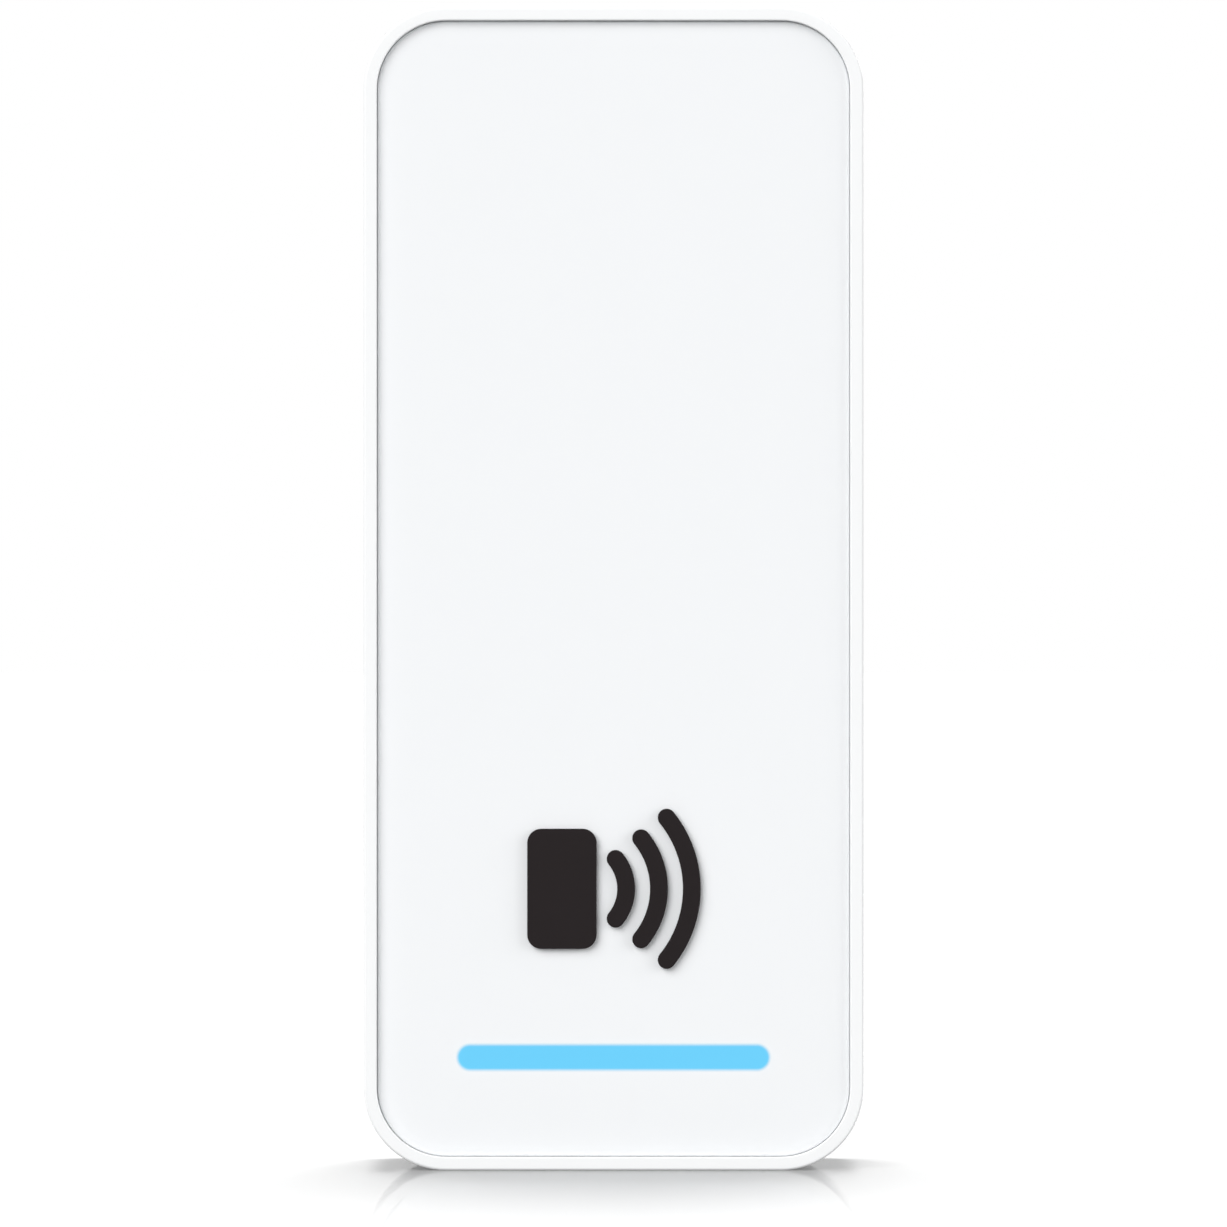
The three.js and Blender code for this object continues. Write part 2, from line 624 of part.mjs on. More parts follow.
function makeRearCover() {
  const humpInside = [BAY_TOP + BAY_WALL, HUMP_TOP - HUMP_WALL];
  return cut(coverBody(), [
    coverNotch(0),
    block(about(0, BAY_HALF), [BAY_FLOOR, COVER_BACK + 0.1], [BAY_BOTTOM, BAY_TOP]),
    block(about(0, HUMP_HALF - HUMP_WALL), [COVER_FRONT - 1, HUMP_BACK - HUMP_WALL], humpInside),
    block(about(0, SOCKET_HALF + 0.6), [SOCKET_FRONT - 0.8, SOCKET_BACK + 0.3], about(BAY_TOP + 0.5, 1)),
    ...coverScrewPlaces.map(([x, z]) => rodY(x, z, 1.15, 0, 10)),
    rodY(TAMPER_X, SWITCH_Z, TAMPER_R + 0.3, 0, 10),
    rodY(RESET_X, SWITCH_Z, RESET_R + 0.3, 0, 10),
    rodY(VENT_X, VENT_Z, VENT_HOLE_R, 0, 10),
  ]);
}

addPiece("rear_gasket", rearGasket(), RUBBER);
addPiece("rear_cover", makeRearCover(), WHITE_PLASTIC);
addPiece("pressure_vent", rodY(VENT_X, VENT_Z, VENT_R, COVER_FRONT - 0.25, COVER_FRONT - GAP, ROUND), RUBBER);

// ---- Screws that hold the boards and the cover --------------------------------------------------
// A screw along Y with its head towards the back, at the origin under its head, with a hex socket
function socketScrew({ headR, headH, shankR, length }) {
  const body = turned(
    [[0, -length], [shankR - 0.3, -length], [shankR, -length + 0.4], [shankR, 0], [headR, 0]].concat([
      [headR, headH - 0.2],
      [headR - 0.2, headH],
      [0, headH],
    ]),
    SMALL_ROUND,
  );
  return body.subtract(rodY(0, 0, headR * 0.45, headH * 0.4, headH + 1, 6));
}

boardScrewPlaces.forEach(([x, z], i) => {
  addPiece(`board_screw_${i + 1}`, socketScrew(BOARD_SCREW), STEEL, [x, BOARD_BACK + GAP, z]);
});
coverScrewPlaces.forEach(([x, z], i) => {
  addPiece(`cover_screw_${i + 1}`, socketScrew(COVER_SCREW), STEEL, [x, COVER_BACK + GAP, z]);
});

// ---- Locking screw ------------------------------------------------------------------------------
// The screw goes up through the underside, at the origin under its head's lower face
function lockScrew() {
  const shankTop = LOCK_TIP_Z - LOCK_HEAD_Z;
  const body = turned(
    [
      [0, 0],
      [LOCK_HEAD_R - 0.2, 0],
      [LOCK_HEAD_R, 0.2],
      [LOCK_HEAD_R, LOCK_HEAD_H],
      [LOCK_SHANK_R, LOCK_HEAD_H],
      [LOCK_SHANK_R, shankTop - 0.4],
      [LOCK_SHANK_R - 0.4, shankTop],
      [0, shankTop],
    ],
    ROUND,
  );
  const upright = toSolid(toGeometry(body).rotateX(Math.PI / 2));
  return upright.subtract(rodZ(0, 0, 1.2, -1, 1, 6));
}

function addLockScrew() {
  const headTop = LOCK_HEAD_Z + LOCK_HEAD_H;
  const sealSpan = [headTop + GAP, headTop + GAP + 0.5];
  const seal = rodZ(0, LOCK_Y, 2.3, ...sealSpan).subtract(rodZ(0, LOCK_Y, LOCK_SHANK_R + 0.15, 0, 20));
  const insert = rodZ(0, LOCK_Y, INSERT_R, COUNTERBORE_TOP + GAP, INSERT_TOP);
  addPiece("lock_insert", insert.subtract(rodZ(0, LOCK_Y, LOCK_SHANK_R + 0.2, 0, 20)), BRASS);
  addPiece("lock_screw_seal", seal, RUBBER);
  addPiece("lock_screw", lockScrew(), STEEL, [0, LOCK_Y, LOCK_HEAD_Z]);
}

addLockScrew();

// ---- Wall plate ---------------------------------------------------------------------------------
// The slot for one hook: a narrow stretch at rest, a wide entry above it, and room behind for the head
function keyhole(x, z) {
  const top = z + RELEASE + HOOK_HEAD[1] / 2 + HOOK_AIR;
  const wide = about(x, HOOK_HEAD[0] / 2 + HOOK_AIR);
  const narrow = about(x, HOOK_NECK[0] / 2 + HOOK_AIR);
  return [
    block(narrow, [PLATE_FRONT - 1, BACK + 1], [z - HOOK_NECK[1] / 2 - HOOK_AIR, top]),
    block(wide, [PLATE_FRONT - 1, BACK + 1], [z + RELEASE - HOOK_HEAD[1] / 2 - HOOK_AIR, top]),
    block(wide, [HOOK_HEAD_Y - 0.1, BACK + 1], [z - HOOK_HEAD[1] / 2 - HOOK_AIR, top]),
  ];
}

// The ramp that lets the tamper plunger out as the plate slides down
function tamperRamp() {
  const start = SWITCH_Z - TAMPER_R - 0.2;
  const deep = PLATE_FRONT + TAMPER_TRAVEL;
  const profile = [
    [PLATE_FRONT - 1, start],
    [PLATE_FRONT, start],
    [deep, start + RELEASE],
    [deep, start + RELEASE + 3],
    [PLATE_FRONT - 1, start + RELEASE + 3],
  ];
  return sideways(profile, TAMPER_X - 1.4, TAMPER_X + 1.4);
}

function makeWallPlate() {
  const middle = (PLATE_BOTTOM + PLATE_TOP) / 2;
  const sheet = roundedRect(0, middle, 2 * PLATE_HALF, PLATE_TOP - PLATE_BOTTOM, PLATE_R);
  const openingMiddle = (OPENING_BOTTOM + OPENING_TOP) / 2;
  const opening = roundedRect(0, openingMiddle, 2 * OPENING_HALF, OPENING_TOP - OPENING_BOTTOM, 2);
  const lug = block(about(0, LUG_HALF), [LUG_FRONT, PLATE_FRONT + 0.5], [LUG_BOTTOM, LUG_BOTTOM + LUG_THICK]);
  const screwHoles = [WALL_SCREW_Z, WALL_SCREW_Z + WALL_SCREW_SPACING].flatMap((z) => [
    rodY(0, z, WALL_SCREW_R, PLATE_FRONT - 1, BACK + 1, ROUND),
    rodY(0, z, WALL_SCREW_HEAD_R, PLATE_FRONT - 0.01, BACK - 0.3, ROUND, WALL_SCREW_R),
  ]);
  return cut(prism(sheet, PLATE_FRONT, BACK).add(lug), [
    prism(opening, PLATE_FRONT - 1, BACK + 1),
    ...screwHoles,
    ...hookPlaces.flatMap(([x, z]) => keyhole(x, z)),
    tamperRamp(),
  ]);
}

addPiece("wall_plate", makeWallPlate(), GREY_PLASTIC);

export default reader;
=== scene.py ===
"""Looks of a wall-mounted card reader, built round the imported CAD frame.

Metres, in the frame's own axes: X right as seen from the front, +Y backwards into the wall, +Z up.
"""
import json
import math

import bmesh
import bpy
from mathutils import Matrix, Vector


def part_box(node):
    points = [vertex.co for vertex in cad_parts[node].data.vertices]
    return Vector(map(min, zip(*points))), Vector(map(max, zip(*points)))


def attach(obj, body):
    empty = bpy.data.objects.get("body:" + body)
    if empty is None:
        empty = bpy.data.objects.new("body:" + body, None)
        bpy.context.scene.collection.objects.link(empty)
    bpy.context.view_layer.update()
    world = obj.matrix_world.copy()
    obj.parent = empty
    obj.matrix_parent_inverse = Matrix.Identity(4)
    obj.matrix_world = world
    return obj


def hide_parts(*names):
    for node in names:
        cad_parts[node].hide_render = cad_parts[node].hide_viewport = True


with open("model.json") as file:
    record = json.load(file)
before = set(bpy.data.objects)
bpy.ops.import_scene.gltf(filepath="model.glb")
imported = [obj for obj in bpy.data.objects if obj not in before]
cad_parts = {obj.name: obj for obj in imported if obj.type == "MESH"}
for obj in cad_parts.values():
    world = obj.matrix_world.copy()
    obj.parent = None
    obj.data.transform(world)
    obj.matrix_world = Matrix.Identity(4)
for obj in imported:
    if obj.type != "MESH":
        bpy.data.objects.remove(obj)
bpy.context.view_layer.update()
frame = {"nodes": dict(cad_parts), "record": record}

MM = 0.001

# ---- Sizes: the frame's boxes, and the few radii that a box doesn't show --------------------------
BODY_LOW, BODY_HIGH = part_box("housing")
PANEL_LOW, PANEL_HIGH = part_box("front_panel")
COVER_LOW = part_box("rear_cover")[0]
PLATE_LOW, PLATE_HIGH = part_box("wall_plate")
SCREW_LOW, SCREW_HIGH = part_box("lock_screw")
SEAL_LOW, SEAL_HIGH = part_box("lock_screw_seal")
CARD_LOW, CARD_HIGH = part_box("tap_mark_card")
GUIDE_LOW, GUIDE_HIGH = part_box("light_guide")

WIDTH = BODY_HIGH.x - BODY_LOW.x
HEIGHT = BODY_HIGH.z - BODY_LOW.z
FRONT = BODY_LOW.y
SKIRT_END = BODY_HIGH.y
BACK = PLATE_HIGH.y
PANEL_FRONT = PANEL_LOW.y
PANEL_BACK = PANEL_HIGH.y
PANEL_INSET = PANEL_LOW.x - BODY_LOW.x
CORNER_R = 8.8 * MM
RIM = PANEL_INSET - 0.04 * MM  # the rim's width, less the seam round the panel
WALL = 1.7 * MM  # the thickness of the skirt round the rear cover
LEDGE = 1.1 * MM  # how far the ledge that carries the cover stands in from the skirt
FLOOR_FRONT = PANEL_BACK + 0.3 * MM  # the tub's floor, behind the panel's tape
FLOOR_BACK = FLOOR_FRONT + 1.4 * MM
LEDGE_Y = 2 * MM
COVER_FRONT = LEDGE_Y + 0.8 * MM
COVER_BACK = COVER_FRONT + 1.6 * MM

CORNER_STEPS = 20  # faces along a quarter turn of the outline
SMALL_CORNER_STEPS = 8
FILLET_STEPS = 5  # faces across a rounded edge
ROUND = 48  # faces round a turned part
SMALL_ROUND = 32
SMALLEST_ROUND = 24
SMOOTH_ANGLE = 35  # degrees between faces up to which they are shaded as one
LEAST_R = 0.05 * MM
PAST = 1 * MM  # how far a cutting tool reaches past the faces that it cuts
SUNK = 0.2 * MM  # how far a part of a moulding reaches into the one that it grows from
FIXINGS = (1, 2, 3, 4)  # the four screws of each kind


# ---- Outlines in the XZ plane ---------------------------------------------------------------------
def rounded_outline(x, z, width, height, radius, steps=CORNER_STEPS):
    """The points of a rounded rectangle, anticlockwise as seen from the front."""
    points = []
    for side, end, start in ((1, -1, -90), (1, 1, 0), (-1, 1, 90), (-1, -1, 180)):
        middle_x = x + side * (width / 2 - radius)
        middle_z = z + end * (height / 2 - radius)
        for i in range(steps + 1):
            angle = math.radians(start + 90 * i / steps)
            points.append((middle_x + radius * math.cos(angle), middle_z + radius * math.sin(angle)))
    return points


def body_outline(inset):
    """The housing's outline, drawn in by inset all round."""
    return rounded_outline(0, HEIGHT / 2, WIDTH - 2 * inset, HEIGHT - 2 * inset, CORNER_R - inset)


def rectangle(low, high, radius):
    """A function of inset that gives the rounded rectangle between two (x, z) corners."""
    x, z = (low[0] + high[0]) / 2, (low[1] + high[1]) / 2
    width, height = high[0] - low[0], high[1] - low[1]
    return lambda inset: rounded_outline(
        x, z, width - 2 * inset, height - 2 * inset, max(radius - inset, LEAST_R), SMALL_CORNER_STEPS
    )


def circle(x, z, radius, sides=ROUND):
    """A function of inset that gives a circle."""
    def outline(inset):
        turn = 2 * math.pi / sides
        return [
            (x + (radius - inset) * math.cos(turn * i), z + (radius - inset) * math.sin(turn * i))
            for i in range(sides)
        ]
    return outline


# ---- Meshes ---------------------------------------------------------------------------------------
def new_object(name, bm):
    """An object from a finished bmesh, with its faces turned outwards."""
    bmesh.ops.recalc_face_normals(bm, faces=bm.faces)
    mesh = bpy.data.meshes.new(name)
    bm.to_mesh(mesh)
    bm.free()
    made = bpy.data.objects.new(name, mesh)
    bpy.context.scene.collection.objects.link(made)
    return made


def loft(name, rings):
    """A closed solid through rings of points, all of one length, with a flat face at each end."""
    bm = bmesh.new()
    loops = [[bm.verts.new(p) for p in ring] for ring in rings]
    for a, b in zip(loops, loops[1:]):
        for i in range(len(a)):
            j = (i + 1) % len(a)
            bm.faces.new((a[i], a[j], b[j], b[i]))
    bm.faces.new(loops[0])
    bm.faces.new(loops[-1])
    return new_object(name, bm)


def filleted(corners):
    """A path through square corners of (inset, y, radius), with each corner rounded by its radius."""
    path = []
    for i, (inset, y, radius) in enumerate(corners):
        here = Vector((inset, y))
        if radius == 0 or i in (0, len(corners) - 1):
            path.append((inset, y))
            continue
        before = (Vector(corners[i - 1][:2]) - here).normalized()
        after = (Vector(corners[i + 1][:2]) - here).normalized()
        middle = here + radius * (before + after)
        for k in range(FILLET_STEPS + 1):
            angle = math.pi / 2 * k / FILLET_STEPS
            path.append(tuple(middle - radius * (math.cos(angle) * after + math.sin(angle) * before)))
    return path


def swept(name, corners, outline):
    """A solid whose outline is drawn in and moved along Y as the corners' path says."""
    rings = [[(x, y, z) for x, z in outline(inset)] for inset, y in filleted(corners)]
    return loft(name, rings)


def slab(name, outline, y0, y1, front_edge=0.0, back_edge=0.0):
    """An outline extruded from y0 to y1, with its front and back edges rounded."""
    start = (front_edge + LEAST_R) if front_edge else 0.0
    end = (back_edge + LEAST_R) if back_edge else 0.0
    corners = [(start, y0, 0), (0, y0, front_edge), (0, y1, back_edge), (end, y1, 0)]
    if not start:
        corners = corners[1:]
    if not end:
        corners = corners[:-1]
    return swept(name, corners, outline)


def bar(name, low, high, radius=0.3 * MM, edge=0.0):
    """A box between two corners, with its edges along Y rounded, and the others by edge."""
    outline = rectangle((low[0], low[2]), (high[0], high[2]), radius)
    return slab(name, outline, low[1], high[1], edge, edge)


def bar_about(name, middle, half, y0, y1, radius=0.3 * MM, edge=0.0):
    """A bar from y0 to y1, half[0] and half[1] to each side of a middle point (x, z)."""
    (x, z), (across, up) = middle, half
    return bar(name, (x - across, y0, z - up), (x + across, y1, z + up), radius, edge)


def turned(name, middle, axis, profile, sides=ROUND):
    """A solid of revolution about a line through middle, from (radius, distance along axis) points."""
    axis = Vector(axis).normalized()
    side = axis.orthogonal().normalized()
    other = axis.cross(side)
    rings = []
    for radius, along in profile:
        ring = []
        for i in range(sides):
            angle = 2 * math.pi * i / sides
            outwards = math.cos(angle) * side + math.sin(angle) * other
            ring.append(Vector(middle) + along * axis + radius * outwards)
        rings.append(ring)
    return loft(name, rings)


def settle(piece):
    """Makes a piece's modifiers part of its mesh."""
    graph = bpy.context.evaluated_depsgraph_get()
    mesh = bpy.data.meshes.new_from_object(piece.evaluated_get(graph))
    piece.modifiers.clear()
    old, piece.data = piece.data, mesh
    bpy.data.meshes.remove(old)


def combine(piece, tools, operation):
    """Uses up tools on a piece, one at a time, and gives the piece back."""
    for tool in tools:
        step = piece.modifiers.new("combine", "BOOLEAN")
        step.object = tool
        step.operation = operation
        step.solver = "EXACT"
        settle(piece)
        bpy.data.objects.remove(tool)
    return piece


def add(piece, *tools):
    """Joins the tools to the piece."""
    return combine(piece, tools, "UNION")


def cut(piece, *tools):
    """Cuts the tools' shapes out of the piece."""
    return combine(piece, tools, "DIFFERENCE")


def smooth(piece):
    """Smooth shading that keeps flat faces flat and hard edges hard."""
    piece.data.shade_smooth()
    piece.data.set_sharp_from_angle(angle=math.radians(SMOOTH_ANGLE))
    weighted = piece.modifiers.new("flat faces", "WEIGHTED_NORMAL")
    weighted.keep_sharp = True


# ---- Materials ------------------------------------------------------------------------------------
NOISE_LOW, NOISE_HIGH = 0.3, 0.7  # nearly all of a noise texture's values lie between these
TONE_PATCH = 9 * MM
SHEEN_DRIFT = 0.03


class Nodes:
    """A material's node tree, with short calls for the nodes that the finishes share."""

    def __init__(self, name):
        self.material = bpy.data.materials.new(name)
        self.material.use_nodes = True
        self.tree = self.material.node_tree
        self.shader = self.tree.nodes["Principled BSDF"]
        self.place = self.node("ShaderNodeTexCoord").outputs["Object"]

    def node(self, kind, inputs=None, **settings):
        """A new node, with its inputs fed by their names or numbers."""
        made = self.tree.nodes.new(kind)
        for key, value in settings.items():
            setattr(made, key, value)
        for key, value in (inputs or {}).items():
            self.feed(value, made.inputs[key])
        return made

    def feed(self, value, socket):
        """Links another node's output to a socket, or sets the socket to a plain value."""
        if isinstance(value, bpy.types.NodeSocket):
            self.tree.links.new(value, socket)
        else:
            socket.default_value = value

    def math(self, operation, a, b=0.0):
        return self.node("ShaderNodeMath", {0: a, 1: b}, operation=operation).outputs[0]

    def noise(self, size, detail, stretch=None):
        """Noise from 0 to 1, with patches of about that size in metres."""
        place = self.place
        if stretch:
            place = self.node("ShaderNodeMapping", {"Vector": place, "Scale": stretch}).outputs[0]
        inputs = {"Vector": place, "Scale": 1 / size, "Detail": detail}
        return self.node("ShaderNodeTexNoise", inputs).outputs["Fac"]

    def blend(self, amount, a, b):
        """A colour between a and b."""
        made = self.node("ShaderNodeMix", {0: amount}, data_type="RGBA")
        self.feed(a, made.inputs[6])
        self.feed(b, made.inputs[7])
        return made.outputs[2]

    def between(self, value, low, high):
        """A noise value stretched to run from low to high."""
        inputs = {0: value, 1: NOISE_LOW, 2: NOISE_HIGH, 3: low, 4: high}
        return self.node("ShaderNodeMapRange", inputs).outputs[0]

    def bump(self, height, depth):
        """Raises the surface by depth metres where height is 1."""
        inputs = {"Height": height, "Distance": depth, "Strength": 1.0}
        self.feed(self.node("ShaderNodeBump", inputs).outputs[0], self.shader.inputs["Normal"])

    def set(self, **values):
        """Feeds the shader's inputs, named with _ for each space."""
        for key, value in values.items():
            self.feed(value, self.shader.inputs[key.replace("_", " ")])


def grey(value, warm=0.0):
    """A grey, with its red raised and its blue lowered by the share that it is warm."""
    return (value * (1 + warm), value, value * (1 - warm), 1)


def moulded(name, colour, roughness, grain=0.12 * MM, depth=0.002 * MM, mottle=0.012, gloss=0.5):
    """Injection-moulded plastic: a fine spark-eroded grain and a faint drift in tone and sheen."""
    n = Nodes(name)
    drift = n.noise(TONE_PATCH, 3)
    fine = n.noise(grain, 3)
    darker = tuple(c * (1 - mottle) for c in colour[:3]) + (1,)
    n.set(
        Base_Color=n.blend(n.between(drift, 0, 1), colour, darker),
        Roughness=n.between(fine, roughness - SHEEN_DRIFT, roughness + SHEEN_DRIFT),
    )
    n.shader.inputs["Specular IOR Level"].default_value = gloss
    n.bump(fine, depth)
    return n


def beyond(n, value, middle, reach):
    """How far a value is from middle beyond that reach, below 0 within it."""
    return n.math("SUBTRACT", n.math("ABSOLUTE", n.math("SUBTRACT", value, middle)), reach)


def distance_outside(n, middle_z, half_width, half_height, radius):
    """How far a point of the front is outside a rounded rectangle, below 0 inside it."""
    split = n.node("ShaderNodeSeparateXYZ", {0: n.place})
    across = beyond(n, split.outputs[0], 0.0, half_width - radius)
    up = beyond(n, split.outputs[2], middle_z, half_height - radius)
    inside = n.math("MINIMUM", n.math("MAXIMUM", across, up), 0.0)
    side = n.math("MAXIMUM", across, 0.0)
    end = n.math("MAXIMUM", up, 0.0)
    square = n.math("ADD", n.math("MULTIPLY", side, side), n.math("MULTIPLY", end, end))
    return n.math("SUBTRACT", n.math("ADD", n.math("SQRT", square), inside), radius)


HOUSING_WHITE = (0.955, 0.965, 0.97, 1)
PANEL_WHITE = (0.925, 0.94, 0.955, 1)
MARK_BLACK = (0.0155, 0.0118, 0.0125, 1)
TAPE_BEIGE = (0.66, 0.65, 0.6, 1)

BAR_HALF = 33.3 * MM / 2
BAR_R = 2.72 * MM / 2
BAR_Z = (GUIDE_LOW.z + GUIDE_HIGH.z) / 2
BAR_BLUE = (0.168, 0.651, 0.982)
BAR_OWN = 0.22  # the share of the bar's colour that is the panel's own tint and not its light
BAR_SHEEN = 0.04  # what the panel's surface adds by reflecting the room
BAR_BLUR = 0.3 * MM  # the bar's light fades from this far inside its edge to as far outside
HALO_REACH = 0.45 * MM  # over each such distance the halo weakens to 1/e
HALO_STRENGTH = 0.05
# Painted shade: the panel's white is darkened towards its edge in place of the rim's shadow and the
# darkening in the seam.
EDGE_SHADE = 0.94  # how much of its whiteness the panel keeps where it meets the rim
EDGE_SHADE_START = 1.1 * MM  # how far inside the panel's edge the shade begins
EDGE_SHADE_FULL = 0.2 * MM


def panel_material():
    """Satin white with the lit bar shining through it: an even core, a soft edge and a faint halo, and a
    painted shade that darkens the white towards the panel's edge, where the rim meets it.
    """
    n = moulded("panel white", PANEL_WHITE, 0.32, grain=0.2 * MM, depth=0.0008 * MM, mottle=0.004)
    outside = distance_outside(n, BAR_Z, BAR_HALF, BAR_R, BAR_R)
    fade = {0: outside, 1: -BAR_BLUR, 2: BAR_BLUR, 3: 1.0, 4: 0.0}
    core = n.node("ShaderNodeMapRange", fade, interpolation_type="SMOOTHERSTEP").outputs[0]
    weakening = n.math("EXPONENT", n.math("MULTIPLY", outside, -1 / HALO_REACH))
    halo = n.math("MULTIPLY", n.math("MINIMUM", weakening, 1.0), HALO_STRENGTH)
    tint = tuple(c * BAR_OWN for c in BAR_BLUE) + (1,)
    light = tuple(c * (1 - BAR_OWN) - BAR_SHEEN for c in BAR_BLUE) + (1,)
    # Painted shade: the white is blended towards a darker white near the panel's edge, where the rim's
    # shadow and the seam's darkening fall.
    edge = distance_outside(
        n, HEIGHT / 2, WIDTH / 2 - PANEL_INSET, HEIGHT / 2 - PANEL_INSET, CORNER_R - PANEL_INSET
    )
    edge_painted_shade_range = {0: edge, 1: -EDGE_SHADE_START, 2: -EDGE_SHADE_FULL, 3: 0.0, 4: 1.0}
    edge_painted_shade = n.node("ShaderNodeMapRange", edge_painted_shade_range, interpolation_type="SMOOTHSTEP").outputs[0]
    white = n.shader.inputs["Base Color"].links[0].from_socket
    dimmed_colour = tuple(c * EDGE_SHADE for c in PANEL_WHITE[:3]) + (1,)
    n.set(
        Base_Color=n.blend(core, n.blend(edge_painted_shade, white, dimmed_colour), tint),
        Emission_Color=light,
        Emission_Strength=n.math("MAXIMUM", core, halo),
    )
    return n.material


def plastic(name, colour, roughness, **finish):
    """A moulded material with nothing added to its nodes."""
    return moulded(name, colour, roughness, **finish).material


DRAWN = (1, 1, 12)  # how much finer the lines of a metal part are along each axis
DRAWN_LINE = 0.5 * MM
METAL_CLOUD = 3 * MM
METAL_DULL = 0.82  # how much of its colour a metal keeps in the duller patches
METAL_SHEEN_DRIFT = 0.08
METAL_LINE_DEPTH = 0.003 * MM


def metal(name, colour, roughness):
    """Machined or plated metal: fine lines along the part and cloudy patches in its sheen."""
    n = Nodes(name)
    lines = n.noise(DRAWN_LINE, 2, DRAWN)
    cloud = n.noise(METAL_CLOUD, 3)
    dimmed_colour = tuple(c * METAL_DULL for c in colour[:3]) + (1,)
    n.set(
        Base_Color=n.blend(n.between(cloud, 0, 1), colour, dimmed_colour),
        Metallic=1.0,
        Roughness=n.between(lines, roughness - METAL_SHEEN_DRIFT, roughness + METAL_SHEEN_DRIFT),
    )
    n.bump(lines, METAL_LINE_DEPTH)
    return n.material


PAD_PITCH = 1.3 * MM
MASK_GREEN = (0.010, 0.085, 0.038, 1)
TRACK_GREEN = (0.016, 0.15, 0.062, 1)
PAD_GOLD = (0.75, 0.55, 0.25, 1)
COPPER_DEPTH = 0.02 * MM


def board_material():
    """Green solder mask over copper: tracks show as slightly raised, lighter runs between the pads."""
    n = Nodes("board green")
    grid = {"Vector": n.place, "Scale": 1 / PAD_PITCH}
    voronoi = n.node("ShaderNodeTexVoronoi", grid, distance="MANHATTAN", feature="F1")
    cells = voronoi.outputs["Distance"]
    track = n.node("ShaderNodeMapRange", {0: cells, 1: 0.42, 2: 0.5, 3: 0.0, 4: 1.0}).outputs[0]
    pad = n.node("ShaderNodeMapRange", {0: cells, 1: 0.09, 2: 0.12, 3: 1.0, 4: 0.0}).outputs[0]
    mask = n.blend(track, MASK_GREEN, TRACK_GREEN)
    n.set(Base_Color=n.blend(pad, mask, PAD_GOLD), Metallic=pad, Roughness=0.33)
    n.bump(n.math("ADD", track, pad), COPPER_DEPTH)
    return n.material


DIFFUSER_BLUE = (0.05, 0.2, 0.32, 1)
DIFFUSER_GLOW = (0.14, 0.52, 0.8, 1)


def diffuser_material():
    n = moulded("diffuser", DIFFUSER_BLUE, 0.3, grain=0.3 * MM, depth=0.001 * MM, mottle=0.05)
    n.set(Emission_Color=DIFFUSER_GLOW, Emission_Strength=1.0)
    return n.material


MATERIALS = {
    "housing_white": plastic(
        "housing white", HOUSING_WHITE, 0.42, grain=0.16 * MM, depth=0.0016 * MM, mottle=0.006
    ),
    "panel_white": panel_material(),
    "mark_black": plastic("mark black", MARK_BLACK, 0.5, depth=0.0006 * MM, mottle=0.08, gloss=0.1),
    "diffuser": diffuser_material(),
    "reflector_white": plastic("reflector white", grey(0.88), 0.5, mottle=0.03),
    "led": plastic("led resin", (0.82, 0.78, 0.4, 1), 0.2, mottle=0.15),
    "board_green": board_material(),
    "copper": metal("copper", (0.85, 0.42, 0.24, 1), 0.32),
    "ferrite": plastic(
        "ferrite", grey(0.035, 0.03), 0.7, grain=0.1 * MM, depth=0.006 * MM, mottle=0.3
    ),
    "chip_black": plastic("chip black", grey(0.013), 0.6, grain=0.08 * MM, depth=0.004 * MM, mottle=0.2),
    "tin": metal("tin", grey(0.62), 0.35),
    "dark_plastic": plastic("dark plastic", grey(0.04), 0.45, mottle=0.15),
    "brass": metal("brass", (0.82, 0.62, 0.28, 1), 0.28),
    "steel": metal("steel", grey(0.56), 0.3),
    "seal_rubber": plastic(
        "seal rubber", grey(0.02), 0.75, grain=0.3 * MM, depth=0.01 * MM, mottle=0.25, gloss=0.3
    ),
    "adhesive": plastic(
        "tape", TAPE_BEIGE, 0.8, grain=0.25 * MM, depth=0.02 * MM, mottle=0.1, gloss=0.2
    ),
    "plate_grey": plastic(
        "plate grey", grey(0.075), 0.55, grain=0.22 * MM, depth=0.012 * MM, mottle=0.18
    ),
}
SLOT_OF = {row["node"]: row["material_slot"] for row in frame["record"]["subparts"]}

# ---- Putting pieces in the frame ------------------------------------------------------------------
SAME_POINT = 0.001 * MM  # corners nearer together than this are one
SAME_PLANE = 1  # degrees between faces that are merged
CAD_EDGE = 0.12 * MM  # the width of a CAD node's softened edges
CAD_EDGE_SHARE = 0.12  # and the most that it may be of the node's least size
CAD_EDGE_ANGLE = 50  # degrees between faces from which an edge is softened
THIN_NODES = ("jack_contacts", "light_diffuser", "light_guide")  # too fine for softened edges


def place(piece, node, body):
    """Puts a finished piece in a CAD node's stead, with that node's material and body."""
    smooth(piece)
    piece.data.materials.clear()
    piece.data.materials.append(MATERIALS[SLOT_OF[node]])
    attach(piece, body)
    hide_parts(node)


def dress_cad_nodes():
    """Gives every CAD node its slot's material and, by modifiers, whole faces and softened edges."""
    for name, piece in frame["nodes"].items():
        piece.data.materials.clear()
        piece.data.materials.append(MATERIALS[SLOT_OF[name]])
        joined = piece.modifiers.new("join the faces", "WELD")
        joined.merge_threshold = SAME_POINT
        flat = piece.modifiers.new("merge flat faces", "DECIMATE")
        flat.decimate_type = "DISSOLVE"
        flat.angle_limit = math.radians(SAME_PLANE)
        if name in THIN_NODES:
            continue
        edge = piece.modifiers.new("soft edges", "BEVEL")
        edge.width = min(CAD_EDGE, min(piece.dimensions) * CAD_EDGE_SHARE)
        edge.segments = 2
        edge.limit_method = "ANGLE"
        edge.angle_limit = math.radians(CAD_EDGE_ANGLE)
        edge.use_clamp_overlap = True


